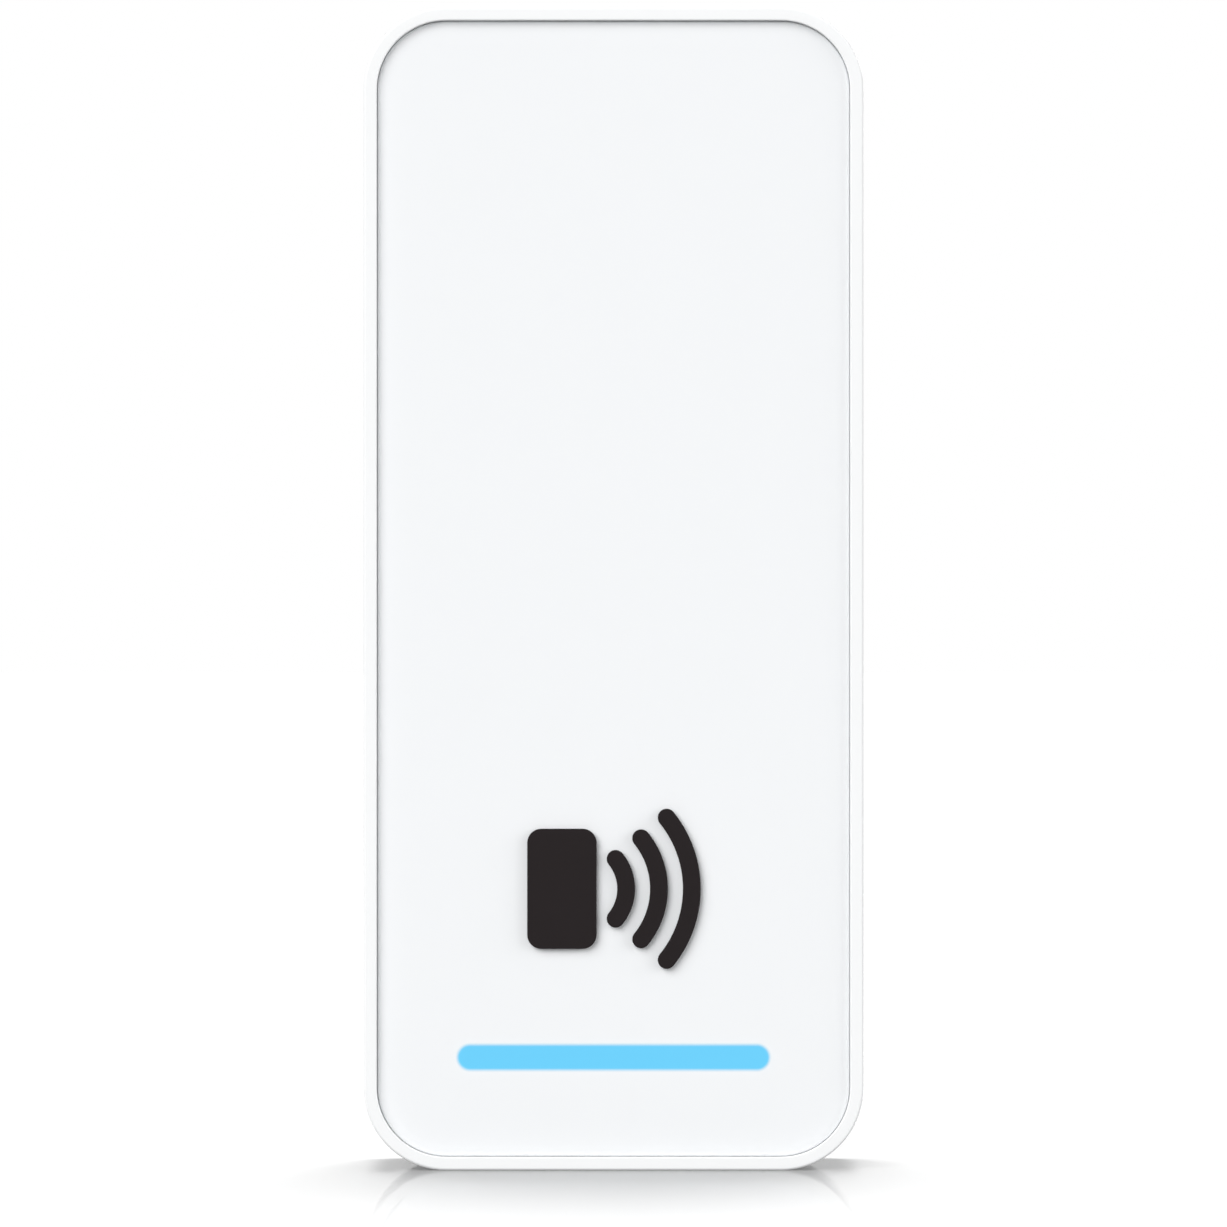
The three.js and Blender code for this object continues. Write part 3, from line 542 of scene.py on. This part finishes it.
# ---- Housing --------------------------------------------------------------------------------------
LOCK_Y = (SCREW_LOW.y + SCREW_HIGH.y) / 2
LOCK_HEAD_Z = SCREW_LOW.z
POCKET_HALF = 5.4 * MM  # the pocket in the tower that the wall plate's lug comes into
POCKET_BOTTOM = 6.7 * MM
POCKET_TOP = 12.4 * MM
POCKET_FRONT = 0.4 * MM
POCKET_WALL = 1.2 * MM
TOWER_BOTTOM = 1 * MM
TOWER_FRONT = -0.8 * MM
TOWER_BACK = 6.6 * MM
NOTCH_AIR = 0.4 * MM
COUNTERBORE_R = 2.6 * MM
COUNTERBORE_TOP = 4.9 * MM
SCREW_HOLE_R = 2.2 * MM
SCREW_HOLE_TOP = POCKET_BOTTOM + 0.3 * MM
COVER_BOSS_R = 2.4 * MM
BOARD_POST_R = 1.9 * MM
BOARD_POST_END = -0.85 * MM
POST_EDGE = 0.15 * MM
PILOT_R = 1.05 * MM
PILOT_AIR = 0.4 * MM  # the pilot hole's depth past the screw's tip
DIFFUSER_BED_GAP = (1.4 * MM, 1.3 * MM)  # past the light guide on each side, in x and z
DIFFUSER_BED_R = 2.9 * MM
DIFFUSER_BED_DEPTH = 0.6 * MM
GUIDE_HOLE_GAP = (0.2 * MM, 0.2 * MM)
GUIDE_HOLE_R = 1.78 * MM
SOUND_HOLES = [((-16 + 2 * i) * MM, -1.6 * MM) for i in range(4)]  # x and y in the underside
SOUND_HOLE_R = 0.55 * MM
SOUND_MOUTH_R = 0.95 * MM
SOUND_MOUTH_DEPTH = 0.3 * MM
SOUND_HOLE_END = 4 * MM


def housing_tub():
    """The tub in one sweep: up from the panel's bed, over the rim, back along the sides and in again."""
    inside = WALL + LEDGE
    return swept(
        "housing_body",
        [
            (RIM + 0.4 * MM, FLOOR_FRONT, 0),
            (RIM, FLOOR_FRONT, 0.1 * MM),
            (RIM, FRONT, 0.12 * MM),
            (0, FRONT, 0.28 * MM),
            (0, SKIRT_END, 0.45 * MM),
            (WALL, SKIRT_END, 0.25 * MM),
            (WALL, LEDGE_Y, 0.1 * MM),
            (inside, LEDGE_Y, 0.1 * MM),
            (inside, FLOOR_BACK, 0.4 * MM),
            (inside + 1 * MM, FLOOR_BACK, 0),
        ],
        body_outline,
    )


def sound_hole(x, y):
    """A round hole up through the underside, with a flared mouth."""
    profile = [
        (SOUND_MOUTH_R, -0.1 * MM),
        (SOUND_HOLE_R, SOUND_MOUTH_DEPTH),
        (SOUND_HOLE_R, SOUND_HOLE_END),
    ]
    return turned("hole", (x, y, 0), (0, 0, 1), profile, SMALLEST_ROUND)


def lock_bore():
    """The locking screw's hole from below: a flared counterbore for the head, and the shank's hole."""
    profile = [
        (COUNTERBORE_R + 0.5 * MM, -0.1 * MM),
        (COUNTERBORE_R, 0.3 * MM),
        (COUNTERBORE_R, COUNTERBORE_TOP),
        (SCREW_HOLE_R, COUNTERBORE_TOP + 0.01 * MM),
        (SCREW_HOLE_R, SCREW_HOLE_TOP),
    ]
    return turned("bore", (0, LOCK_Y, 0), (0, 0, 1), profile)


def middle_of(low, high):
    """The (x, z) middle of a box."""
    return (low.x + high.x) / 2, (low.z + high.z) / 2


def round_the_guide(gap, radius):
    """A rounded rectangle that is wider than the light guide by a gap on each side."""
    low = (GUIDE_LOW.x - gap[0], GUIDE_LOW.z - gap[1])
    high = (GUIDE_HIGH.x + gap[0], GUIDE_HIGH.z + gap[1])
    return rectangle(low, high, radius)


def add_posts(body, kind, radius, end):
    """The posts that a kind of screw goes into, each with its pilot hole."""
    for i in FIXINGS:
        low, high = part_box(f"{kind}_screw_{i}")
        x, z = middle_of(low, high)
        add(body, slab("post", circle(x, z, radius), FLOOR_BACK - SUNK, end, 0, POST_EDGE))
        pilot = circle(x, z, PILOT_R, SMALLEST_ROUND)
        cut(body, slab("pilot", pilot, low.y - PILOT_AIR, end + PAST))


def build_housing():
    """The tub with the lock's tower, the screws' posts, the light's window and the holes."""
    body = housing_tub()
    inner = POCKET_HALF + POCKET_WALL
    top = POCKET_TOP + POCKET_WALL
    foot = inner + LEDGE + NOTCH_AIR
    foot_low = (-foot, TOWER_FRONT, TOWER_BOTTOM)
    tower_low = (-inner, TOWER_FRONT, TOWER_BOTTOM)
    add(
        body,
        bar("foot", foot_low, (foot, LEDGE_Y, top + LEDGE + NOTCH_AIR), 0.5 * MM),
        bar("tower", tower_low, (inner, TOWER_BACK, top), 0.6 * MM, 0.3 * MM),
    )
    add_posts(body, "cover", COVER_BOSS_R, LEDGE_Y)
    add_posts(body, "board", BOARD_POST_R, BOARD_POST_END)
    bed = round_the_guide(DIFFUSER_BED_GAP, DIFFUSER_BED_R)
    window = round_the_guide(GUIDE_HOLE_GAP, GUIDE_HOLE_R)
    pocket_low = (-POCKET_HALF, POCKET_FRONT, POCKET_BOTTOM)
    cut(
        body,
        slab("bed", bed, FLOOR_FRONT - PAST, FLOOR_FRONT + DIFFUSER_BED_DEPTH),
        slab("window", window, FLOOR_FRONT - PAST, FLOOR_BACK + PAST),
        bar("pocket", pocket_low, (POCKET_HALF, BACK + PAST, POCKET_TOP), 0.4 * MM),
        lock_bore(),
        *[sound_hole(x, y) for x, y in SOUND_HOLES],
    )
    place(body, "housing", "reader")


# ---- Front panel and tap mark ---------------------------------------------------------------------
PANEL_EDGE = 0.26 * MM
PANEL_BACK_EDGE = 0.1 * MM
CARD_R = 1.5 * MM
MARK_EDGE = 0.09 * MM
WAVE_HALF_ANGLE = 0.68  # radians to each side of the level line
WAVE_STROKE = 1.9 * MM
WAVE_STEPS = 28
WAVE_END_STEPS = 12


def build_panel():
    """The satin panel in the rim, with a rounded front edge."""
    def outline(inset):
        return body_outline(PANEL_INSET + inset)

    panel = slab("front_panel_satin", outline, PANEL_FRONT, PANEL_BACK, PANEL_EDGE, PANEL_BACK_EDGE)
    place(panel, "front_panel", "reader")


def arc(x, z, radius, start, end, steps):
    """Points along an arc, with both its ends."""
    turn = (end - start) / steps
    return [
        (x + radius * math.cos(start + turn * i), z + radius * math.sin(start + turn * i))
        for i in range(steps + 1)
    ]


def wave_outline(middle_x, middle_z, radius):
    """A function of inset that gives a stroke along an arc, with round ends."""
    def outline(inset):
        half = WAVE_STROKE / 2 - inset
        lean = WAVE_HALF_ANGLE
        end_x = middle_x + radius * math.cos(lean)
        rise = radius * math.sin(lean)
        low_end = (math.pi - lean, 2 * math.pi - lean)
        return (
            arc(middle_x, middle_z, radius + half, -lean, lean, WAVE_STEPS)
            + arc(end_x, middle_z + rise, half, lean, lean + math.pi, WAVE_END_STEPS)[1:-1]
            + arc(middle_x, middle_z, radius - half, lean, -lean, WAVE_STEPS)
            + arc(end_x, middle_z - rise, half, *low_end, WAVE_END_STEPS)[1:-1]
        )
    return outline


def build_mark():
    """The card and its three waves, four stuck-on pieces with softened edges."""
    y0, y1 = CARD_LOW.y, CARD_HIGH.y
    card = rectangle((CARD_LOW.x, CARD_LOW.z), (CARD_HIGH.x, CARD_HIGH.z), CARD_R)
    place(slab("mark_card", card, y0, y1, MARK_EDGE), "tap_mark_card", "reader")
    for i in (1, 2, 3):
        node = f"tap_mark_wave_{i}"
        low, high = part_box(node)
        rise = (high.z - low.z - WAVE_STROKE) / 2
        radius = rise / math.sin(WAVE_HALF_ANGLE)
        middle_x = high.x - radius - WAVE_STROKE / 2
        outline = wave_outline(middle_x, (low.z + high.z) / 2, radius)
        place(slab(f"mark_wave_{i}", outline, y0, y1, MARK_EDGE), node, "reader")


# ---- Rear cover -----------------------------------------------------------------------------------
COVER_GAP = 0.2 * MM  # all round, to the housing's skirt
BAY_HALF = 9.2 * MM
BAY_WALL = 1.1 * MM
BAY_BOTTOM = 18.4 * MM
BAY_TOP = 43.9 * MM
BAY_FLOOR = COVER_LOW.y + 1 * MM
HUMP_HALF = 10.4 * MM
HUMP_TOP = 76 * MM
HUMP_BACK = 7.4 * MM
HUMP_WALL = 1 * MM
JACK_MOUTH_HALF = 6.55 * MM
JACK_MOUTH_FRONT = -3 * MM
JACK_MOUTH_BACK = 5.1 * MM
HOOKS = [(side * 17 * MM, z * MM) for z in (28, 98) for side in (-1, 1)]
NECK_HALF = (1.1 * MM, 1.3 * MM)
NECK_END = 8.3 * MM
HEAD_HALF = (2.3 * MM, 2.2 * MM)
HEAD_FRONT = 7.9 * MM
HEAD_BACK = 8.6 * MM
SWITCH_X = 15 * MM  # the reset button is this far to the right, the tamper switch to the left
SWITCH_Z = 86 * MM
TAMPER_HOLE_R = 1.1 * MM
RESET_HOLE_R = 1.9 * MM
VENT = (16.5 * MM, 55 * MM)
VENT_R = 1.2 * MM
COVER_SCREW_HOLE_R = 1.15 * MM
COVER_HOLE_END = 10 * MM
LABEL_LOW = (-7.6 * MM, 49 * MM)  # a shallow bed for a label in the hump, left blank
LABEL_HIGH = (7.6 * MM, 72 * MM)
LABEL_R = 1 * MM
LABEL_DEPTH = 0.2 * MM
LABEL_EDGE = 0.08 * MM


def cover_hook(place_of_hook):
    """A moulded hook: a neck through the plate's slot and a wider head behind it."""
    neck = bar_about("neck", place_of_hook, NECK_HALF, COVER_BACK - 0.5 * MM, NECK_END)
    head = bar_about("head", place_of_hook, HEAD_HALF, HEAD_FRONT, HEAD_BACK, 0.5 * MM, 0.15 * MM)
    return add(neck, head)


def cover_hole(name, x, z, radius):
    """A round hole through the rear cover."""
    return slab(name, circle(x, z, radius, SMALL_ROUND), 0, COVER_HOLE_END)


def cover_parts():
    """What stands on the rear cover: the cable bay's box, the hump over the jack and the hooks."""
    bay = BAY_HALF + BAY_WALL
    bay_low = (-bay, COVER_LOW.y, BAY_BOTTOM - BAY_WALL)
    bay_high = (bay, COVER_BACK - SUNK, BAY_TOP + BAY_WALL)
    hump_low = (-HUMP_HALF, COVER_FRONT + SUNK, BAY_TOP)
    hump_high = (HUMP_HALF, HUMP_BACK, HUMP_TOP)
    return [
        bar("bay", bay_low, bay_high, 1.6 * MM, 0.4 * MM),
        bar("hump", hump_low, hump_high, 1.4 * MM, 0.7 * MM),
        *[cover_hook(hook) for hook in HOOKS],
    ]


def cover_hollows():
    """What is cut out of the rear cover."""
    notch = POCKET_HALF + POCKET_WALL + NOTCH_AIR
    notch_low = (-notch, -20 * MM, -5 * MM)
    notch_high = (notch, 20 * MM, POCKET_TOP + POCKET_WALL + NOTCH_AIR)
    bay_low = (-BAY_HALF, BAY_FLOOR, BAY_BOTTOM)
    bay_high = (BAY_HALF, COVER_BACK + 0.01 * MM, BAY_TOP)
    hump = HUMP_HALF - HUMP_WALL
    hump_low = (-hump, COVER_FRONT - PAST, BAY_TOP + BAY_WALL)
    hump_high = (hump, HUMP_BACK - HUMP_WALL, HUMP_TOP - HUMP_WALL)
    mouth_low = (-JACK_MOUTH_HALF, JACK_MOUTH_FRONT, BAY_TOP - 0.5 * MM)
    mouth_high = (JACK_MOUTH_HALF, JACK_MOUTH_BACK, BAY_TOP + 1.5 * MM)
    label = rectangle(LABEL_LOW, LABEL_HIGH, LABEL_R)
    return [
        bar("notch", notch_low, notch_high, 0.8 * MM),
        bar("bay inside", bay_low, bay_high, 1 * MM),
        bar("hump inside", hump_low, hump_high, 1 * MM),
        bar("jack mouth", mouth_low, mouth_high, 0.2 * MM),
        cover_hole("tamper hole", -SWITCH_X, SWITCH_Z, TAMPER_HOLE_R),
        cover_hole("reset hole", SWITCH_X, SWITCH_Z, RESET_HOLE_R),
        cover_hole("vent hole", *VENT, VENT_R),
        slab("label bed", label, HUMP_BACK - LABEL_DEPTH, COVER_HOLE_END, LABEL_EDGE),
    ]


def build_rear_cover():
    """The cover that closes the tub, with the cable bay, the hump and the four hooks."""
    def outline(inset):
        return body_outline(WALL + COVER_GAP + inset)

    cover = slab("rear_cover_moulding", outline, COVER_FRONT, COVER_BACK, 0.1 * MM, 0.3 * MM)
    add(cover, *cover_parts())
    cut(cover, *cover_hollows())
    for i in FIXINGS:
        x, z = middle_of(*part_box(f"cover_screw_{i}"))
        cut(cover, cover_hole("screw hole", x, z, COVER_SCREW_HOLE_R))
    place(cover, "rear_cover", "reader")


# ---- Wall plate -----------------------------------------------------------------------------------
PLATE_FRONT = BACK - 2 * MM
PLATE_R = 6.5 * MM
RELEASE = 2.5 * MM  # how far the plate slides to free the hooks
OPENING_LOW = (-11.5 * MM, 20 * MM)
OPENING_HIGH = (11.5 * MM, 80 * MM)
OPENING_R = 2 * MM
LUG_LOW = (-4 * MM, PLATE_LOW.y, 9.5 * MM)
LUG_HIGH = (4 * MM, PLATE_FRONT + 0.5 * MM, 11.1 * MM)
WALL_SCREWS = (15.2 * MM, 98.5 * MM)
WALL_SCREW_R = 2 * MM
WALL_SCREW_HEAD_R = 3.6 * MM
NECK_SLOT_HALF = 1.4 * MM
ENTRY_HALF = 2.6 * MM
SLOT_RISE = RELEASE + 2.5 * MM  # from a hook's middle up to the top of its slot
HEAD_ROOM_FRONT = 7.8 * MM
RAMP_HALF = 1.4 * MM
RAMP_DEPTH = 1.2 * MM
RAMP_REST = 3 * MM  # the level stretch past the ramp
POCKET_DEPTH = 0.4 * MM
POCKET_R = 1.4 * MM
POCKET_EDGE = 0.15 * MM
PIN_MARK_R = 1.2 * MM
PIN_MARK_DEPTH = 0.08 * MM
PIN_MARK_SIDES = 40
# The right half's pockets between the ribs on the plate's back: low and high corners in x and z.
RIGHT_POCKETS = [
    ((1.2 * MM, 104.6 * MM), (20.8 * MM, 118.6 * MM)),
    ((14 * MM, 65.2 * MM), (21.4 * MM, 91.6 * MM)),
    ((14 * MM, 36.4 * MM), (21.4 * MM, 62.8 * MM)),
    ((6 * MM, 10.8 * MM), (19.4 * MM, 17.8 * MM)),
]


def countersink(z):
    """A screw hole, wide at the front of the plate and narrow at the wall."""
    profile = [
        (WALL_SCREW_R + 0.25 * MM, BACK + 0.05 * MM),
        (WALL_SCREW_R, BACK - 0.2 * MM),
        (WALL_SCREW_R, BACK - 0.4 * MM),
        (WALL_SCREW_HEAD_R, PLATE_FRONT),
        (WALL_SCREW_HEAD_R + 0.1 * MM, PLATE_FRONT - 0.1 * MM),
    ]
    return turned("wall screw hole", (0, 0, z), (0, 1, 0), profile)


def keyholes(x, z):
    """The three cuts of one hook's slot: the neck's, the entry and the head's room at the back."""
    top = z + SLOT_RISE
    back = BACK + PAST
    front = PLATE_FRONT - PAST
    neck_low = (x - NECK_SLOT_HALF, front, z - 1.6 * MM)
    neck_high = (x + NECK_SLOT_HALF, back, top - 0.2 * MM)
    room_low = (x - ENTRY_HALF, HEAD_ROOM_FRONT, z - 2.5 * MM)
    room_high = (x + ENTRY_HALF, back, top - 0.01 * MM)
    return [
        bar("neck slot", neck_low, neck_high, 0.4 * MM),
        bar("entry", (x - ENTRY_HALF, front, z), (x + ENTRY_HALF, back, top), 0.5 * MM),
        bar("head room", room_low, room_high, 0.5 * MM),
    ]


def tamper_ramp():
    """The wedge-shaped pit that the tamper plunger comes out into as the plate slides down."""
    start = SWITCH_Z - 1 * MM
    deep = PLATE_FRONT + RAMP_DEPTH
    end = start + RELEASE + RAMP_REST
    front = PLATE_FRONT - PAST
    side = [(front, start), (PLATE_FRONT, start), (deep, start + RELEASE), (deep, end), (front, end)]
    rings = [[(x, y, z) for y, z in side] for x in (-SWITCH_X - RAMP_HALF, -SWITCH_X + RAMP_HALF)]
    return loft("ramp", rings)


def plate_pockets():
    """Shallow moulded pockets in the plate's back, left and right, each with an ejector pin's mark."""
    floor_y = BACK - POCKET_DEPTH
    tools = []
    for side in (-1, 1):
        for low, high in RIGHT_POCKETS:
            x0, x1 = sorted((side * low[0], side * high[0]))
            outline = rectangle((x0, low[1]), (x1, high[1]), POCKET_R)
            middle = circle((x0 + x1) / 2, (low[1] + high[1]) / 2, PIN_MARK_R, PIN_MARK_SIDES)
            tools.append(slab("pocket", outline, floor_y, BACK + PAST, POCKET_EDGE))
            tools.append(slab("pin mark", middle, floor_y - PIN_MARK_DEPTH, BACK + PAST))
    return tools


def build_wall_plate():
    """The plate with its lug, opening, screw holes, hook slots, tamper ramp and back pockets."""
    def outline(inset):
        width, height = PLATE_HIGH.x - PLATE_LOW.x, PLATE_HIGH.z - PLATE_LOW.z
        middle = (PLATE_LOW.z + PLATE_HIGH.z) / 2
        return rounded_outline(0, middle, width - 2 * inset, height - 2 * inset, PLATE_R - inset)

    plate = slab("wall_plate_moulding", outline, PLATE_FRONT, BACK, 0.3 * MM, 0.4 * MM)
    add(plate, bar("lug", LUG_LOW, LUG_HIGH, 0.3 * MM, 0.2 * MM))
    opening = rectangle(OPENING_LOW, OPENING_HIGH, OPENING_R)
    cut(plate, slab("opening", opening, PLATE_FRONT - PAST, BACK + PAST))
    cut(plate, *[countersink(z) for z in WALL_SCREWS], tamper_ramp(), *plate_pockets())
    for x, z in HOOKS:
        cut(plate, *keyholes(x, z))
    place(plate, "wall_plate", "wall_plate")


# ---- Locking screw --------------------------------------------------------------------------------
HEAD_R = (SCREW_HIGH.x - SCREW_LOW.x) / 2
HEAD_HEIGHT = 1.4 * MM
HEAD_CORNER = 0.05 * MM
THREAD_R = 1.45 * MM
THREAD_ROOT_R = 1.2 * MM
THREAD_PITCH = 0.5 * MM
PLAIN = 0.9 * MM  # the stretch without thread under the head, and at the tip
SOCKET_R = 1.2 * MM
SOCKET_DEPTH = 1 * MM
SOCKET_SIDES = 6
SEAL_CORD_R = 0.35 * MM
SEAL_STEPS = 64
SEAL_SIDES = 16


def build_lock_screw():
    """The screw: a plain round head with a hexagon socket, a shank with thread ridges, a tapered tip."""
    tip = SCREW_HIGH.z - SCREW_LOW.z
    profile = [
        (HEAD_R - 0.25 * MM, 0),
        (HEAD_R - 0.08 * MM, 0.08 * MM),
        (HEAD_R, 0.25 * MM),
        (HEAD_R, HEAD_HEIGHT - HEAD_CORNER),
        (HEAD_R - HEAD_CORNER, HEAD_HEIGHT),
        (THREAD_R, HEAD_HEIGHT),
    ]
    along = HEAD_HEIGHT + PLAIN
    while along < tip - PLAIN:
        profile += [(THREAD_R, along), (THREAD_ROOT_R, along + THREAD_PITCH / 2)]
        along += THREAD_PITCH
    profile += [(1.3 * MM, tip - 0.4 * MM), (1.0 * MM, tip)]
    hexagon = [(SOCKET_R + 0.1 * MM, -0.2 * MM), (SOCKET_R, 0.15 * MM), (SOCKET_R, SOCKET_DEPTH)]
    middle = (0, LOCK_Y, LOCK_HEAD_Z)
    screw = turned("lock_screw_steel", middle, (0, 0, 1), profile)
    cut(screw, turned("socket", middle, (0, 0, 1), hexagon, SOCKET_SIDES))
    place(screw, "lock_screw", "lock_screw")


def seal_ring(turn):
    """The points round the O-ring's cord at one angle about the screw."""
    middle_z = (SEAL_LOW.z + SEAL_HIGH.z) / 2
    centre_r = (SEAL_HIGH.x - SEAL_LOW.x) / 2 - SEAL_CORD_R
    half = (SEAL_HIGH.z - SEAL_LOW.z) / 2
    points = []
    for k in range(SEAL_SIDES):
        angle = 2 * math.pi * k / SEAL_SIDES
        r = centre_r + SEAL_CORD_R * math.cos(angle)
        z = middle_z + half * math.sin(angle)
        points.append((r * math.cos(turn), LOCK_Y + r * math.sin(turn), z))
    return points


def build_seal():
    """The O-ring under the screw's head."""
    bm = bmesh.new()
    rings = []
    for i in range(SEAL_STEPS):
        rings.append([bm.verts.new(point) for point in seal_ring(2 * math.pi * i / SEAL_STEPS)])
    for a, b in zip(rings, rings[1:] + rings[:1]):
        for k in range(SEAL_SIDES):
            j = (k + 1) % SEAL_SIDES
            bm.faces.new((a[k], b[k], b[j], a[j]))
    place(new_object("lock_screw_o_ring", bm), "lock_screw_seal", "lock_seal")


# ---- Stage, light and camera ----------------------------------------------------------------------
VIEW_SPAN = 130.76 * MM  # how much of the front plane's height and width the picture takes in
VIEW_MIDDLE_Z = 59.35 * MM
LENS_MM = 200
SENSOR_MM = 36
FLOOR_Z = -0.02 * MM  # a hair lower than the underside, so that the two faces do not coincide
FLOOR_HALF = 6.0
FLOOR_GREY = 0.46  # it looks white under its own light
FLOOR_IOR = 1.04  # a faint mirror, which grows towards a level view
FILL = 0.335  # the light from all round, beside the full white that the camera sees
KEY_SIDE = (-0.57, -0.75, 0.55)  # the way to the key light: upper left
KEY_SPREAD = 50
KEY_POWER = 2.47
EDGE_SIDE = (1.0, -0.35, 0.25)  # from the right, for the wall that the key doesn't reach
EDGE_SPREAD = 40
EDGE_POWER = 1.15
BACK_SIDE = (0.3, 1.0, 0.3)
BACK_SPREAD = 24
BACK_POWER = 1.1
PAPER_SIDE = (0, 0.3, 1.0)  # from above and a little behind, on the floor alone
PAPER_SPREAD = 34
PAPER_POWER = 5.8


def build_floor():
    """A wide pale glossy floor under the object. It throws no light back onto it."""
    bm = bmesh.new()
    sides = ((-1, -1), (1, -1), (1, 1), (-1, 1))
    corners = [bm.verts.new((FLOOR_HALF * x, FLOOR_HALF * y, FLOOR_Z)) for x, y in sides]
    bm.faces.new(corners)
    floor = new_object("floor", bm)
    n = Nodes("floor")
    n.set(Base_Color=grey(FLOOR_GREY), Roughness=0.03, IOR=FLOOR_IOR)
    floor.data.materials.append(n.material)
    floor.visible_diffuse = False
    return floor


def build_world():
    """Even white surroundings: full white to the eye and in reflections, softer as fill light."""
    world = bpy.data.worlds.new("studio")
    bpy.context.scene.world = world
    world.use_nodes = True
    tree = world.node_tree
    background = tree.nodes["Background"]
    background.inputs["Color"].default_value = (1, 1, 1, 1)
    path = tree.nodes.new("ShaderNodeLightPath")
    level = tree.nodes.new("ShaderNodeMapRange")
    level.inputs["To Min"].default_value = 1.0
    level.inputs["To Max"].default_value = FILL
    tree.links.new(path.outputs["Is Diffuse Ray"], level.inputs["Value"])
    tree.links.new(level.outputs[0], background.inputs["Strength"])


def far_light(name, side, spread, power, only=None):
    """A soft light from that side, spread degrees wide, on everything or on one object only."""
    data = bpy.data.lights.new(name, "SUN")
    data.angle = math.radians(spread)
    data.energy = power
    light = bpy.data.objects.new(name, data)
    bpy.context.scene.collection.objects.link(light)
    light.location = side
    light.rotation_euler = Vector(side).to_track_quat("Z", "Y").to_euler()
    light.visible_camera = False
    if only:
        lit = bpy.data.collections.new(f"lit by the {name}")
        lit.objects.link(only)
        light.light_linking.receiver_collection = lit


def build_lights(floor):
    """A soft key across the panel, weaker lights for the right side and the back, and the floor's."""
    far_light("key", KEY_SIDE, KEY_SPREAD, KEY_POWER)
    far_light("edge", EDGE_SIDE, EDGE_SPREAD, EDGE_POWER)
    far_light("back", BACK_SIDE, BACK_SPREAD, BACK_POWER)
    far_light("paper", PAPER_SIDE, PAPER_SPREAD, PAPER_POWER, floor)


def build_camera():
    """A camera that looks level at the front, and takes in VIEW_SPAN there."""
    data = bpy.data.cameras.new("camera")
    data.lens = LENS_MM
    data.sensor_width = SENSOR_MM
    camera = bpy.data.objects.new("camera", data)
    bpy.context.scene.collection.objects.link(camera)
    camera.location = (0, FRONT - VIEW_SPAN * LENS_MM / SENSOR_MM, VIEW_MIDDLE_Z)
    camera.rotation_euler = (math.pi / 2, 0, 0)
    bpy.context.scene.camera = camera


build_camera()
build_world()
floor = build_floor()
dress_cad_nodes()
build_housing()
build_panel()
build_mark()
build_rear_cover()
build_wall_plate()
build_lock_screw()
build_seal()
build_lights(floor)
bpy.context.scene.view_settings.view_transform = "Standard"
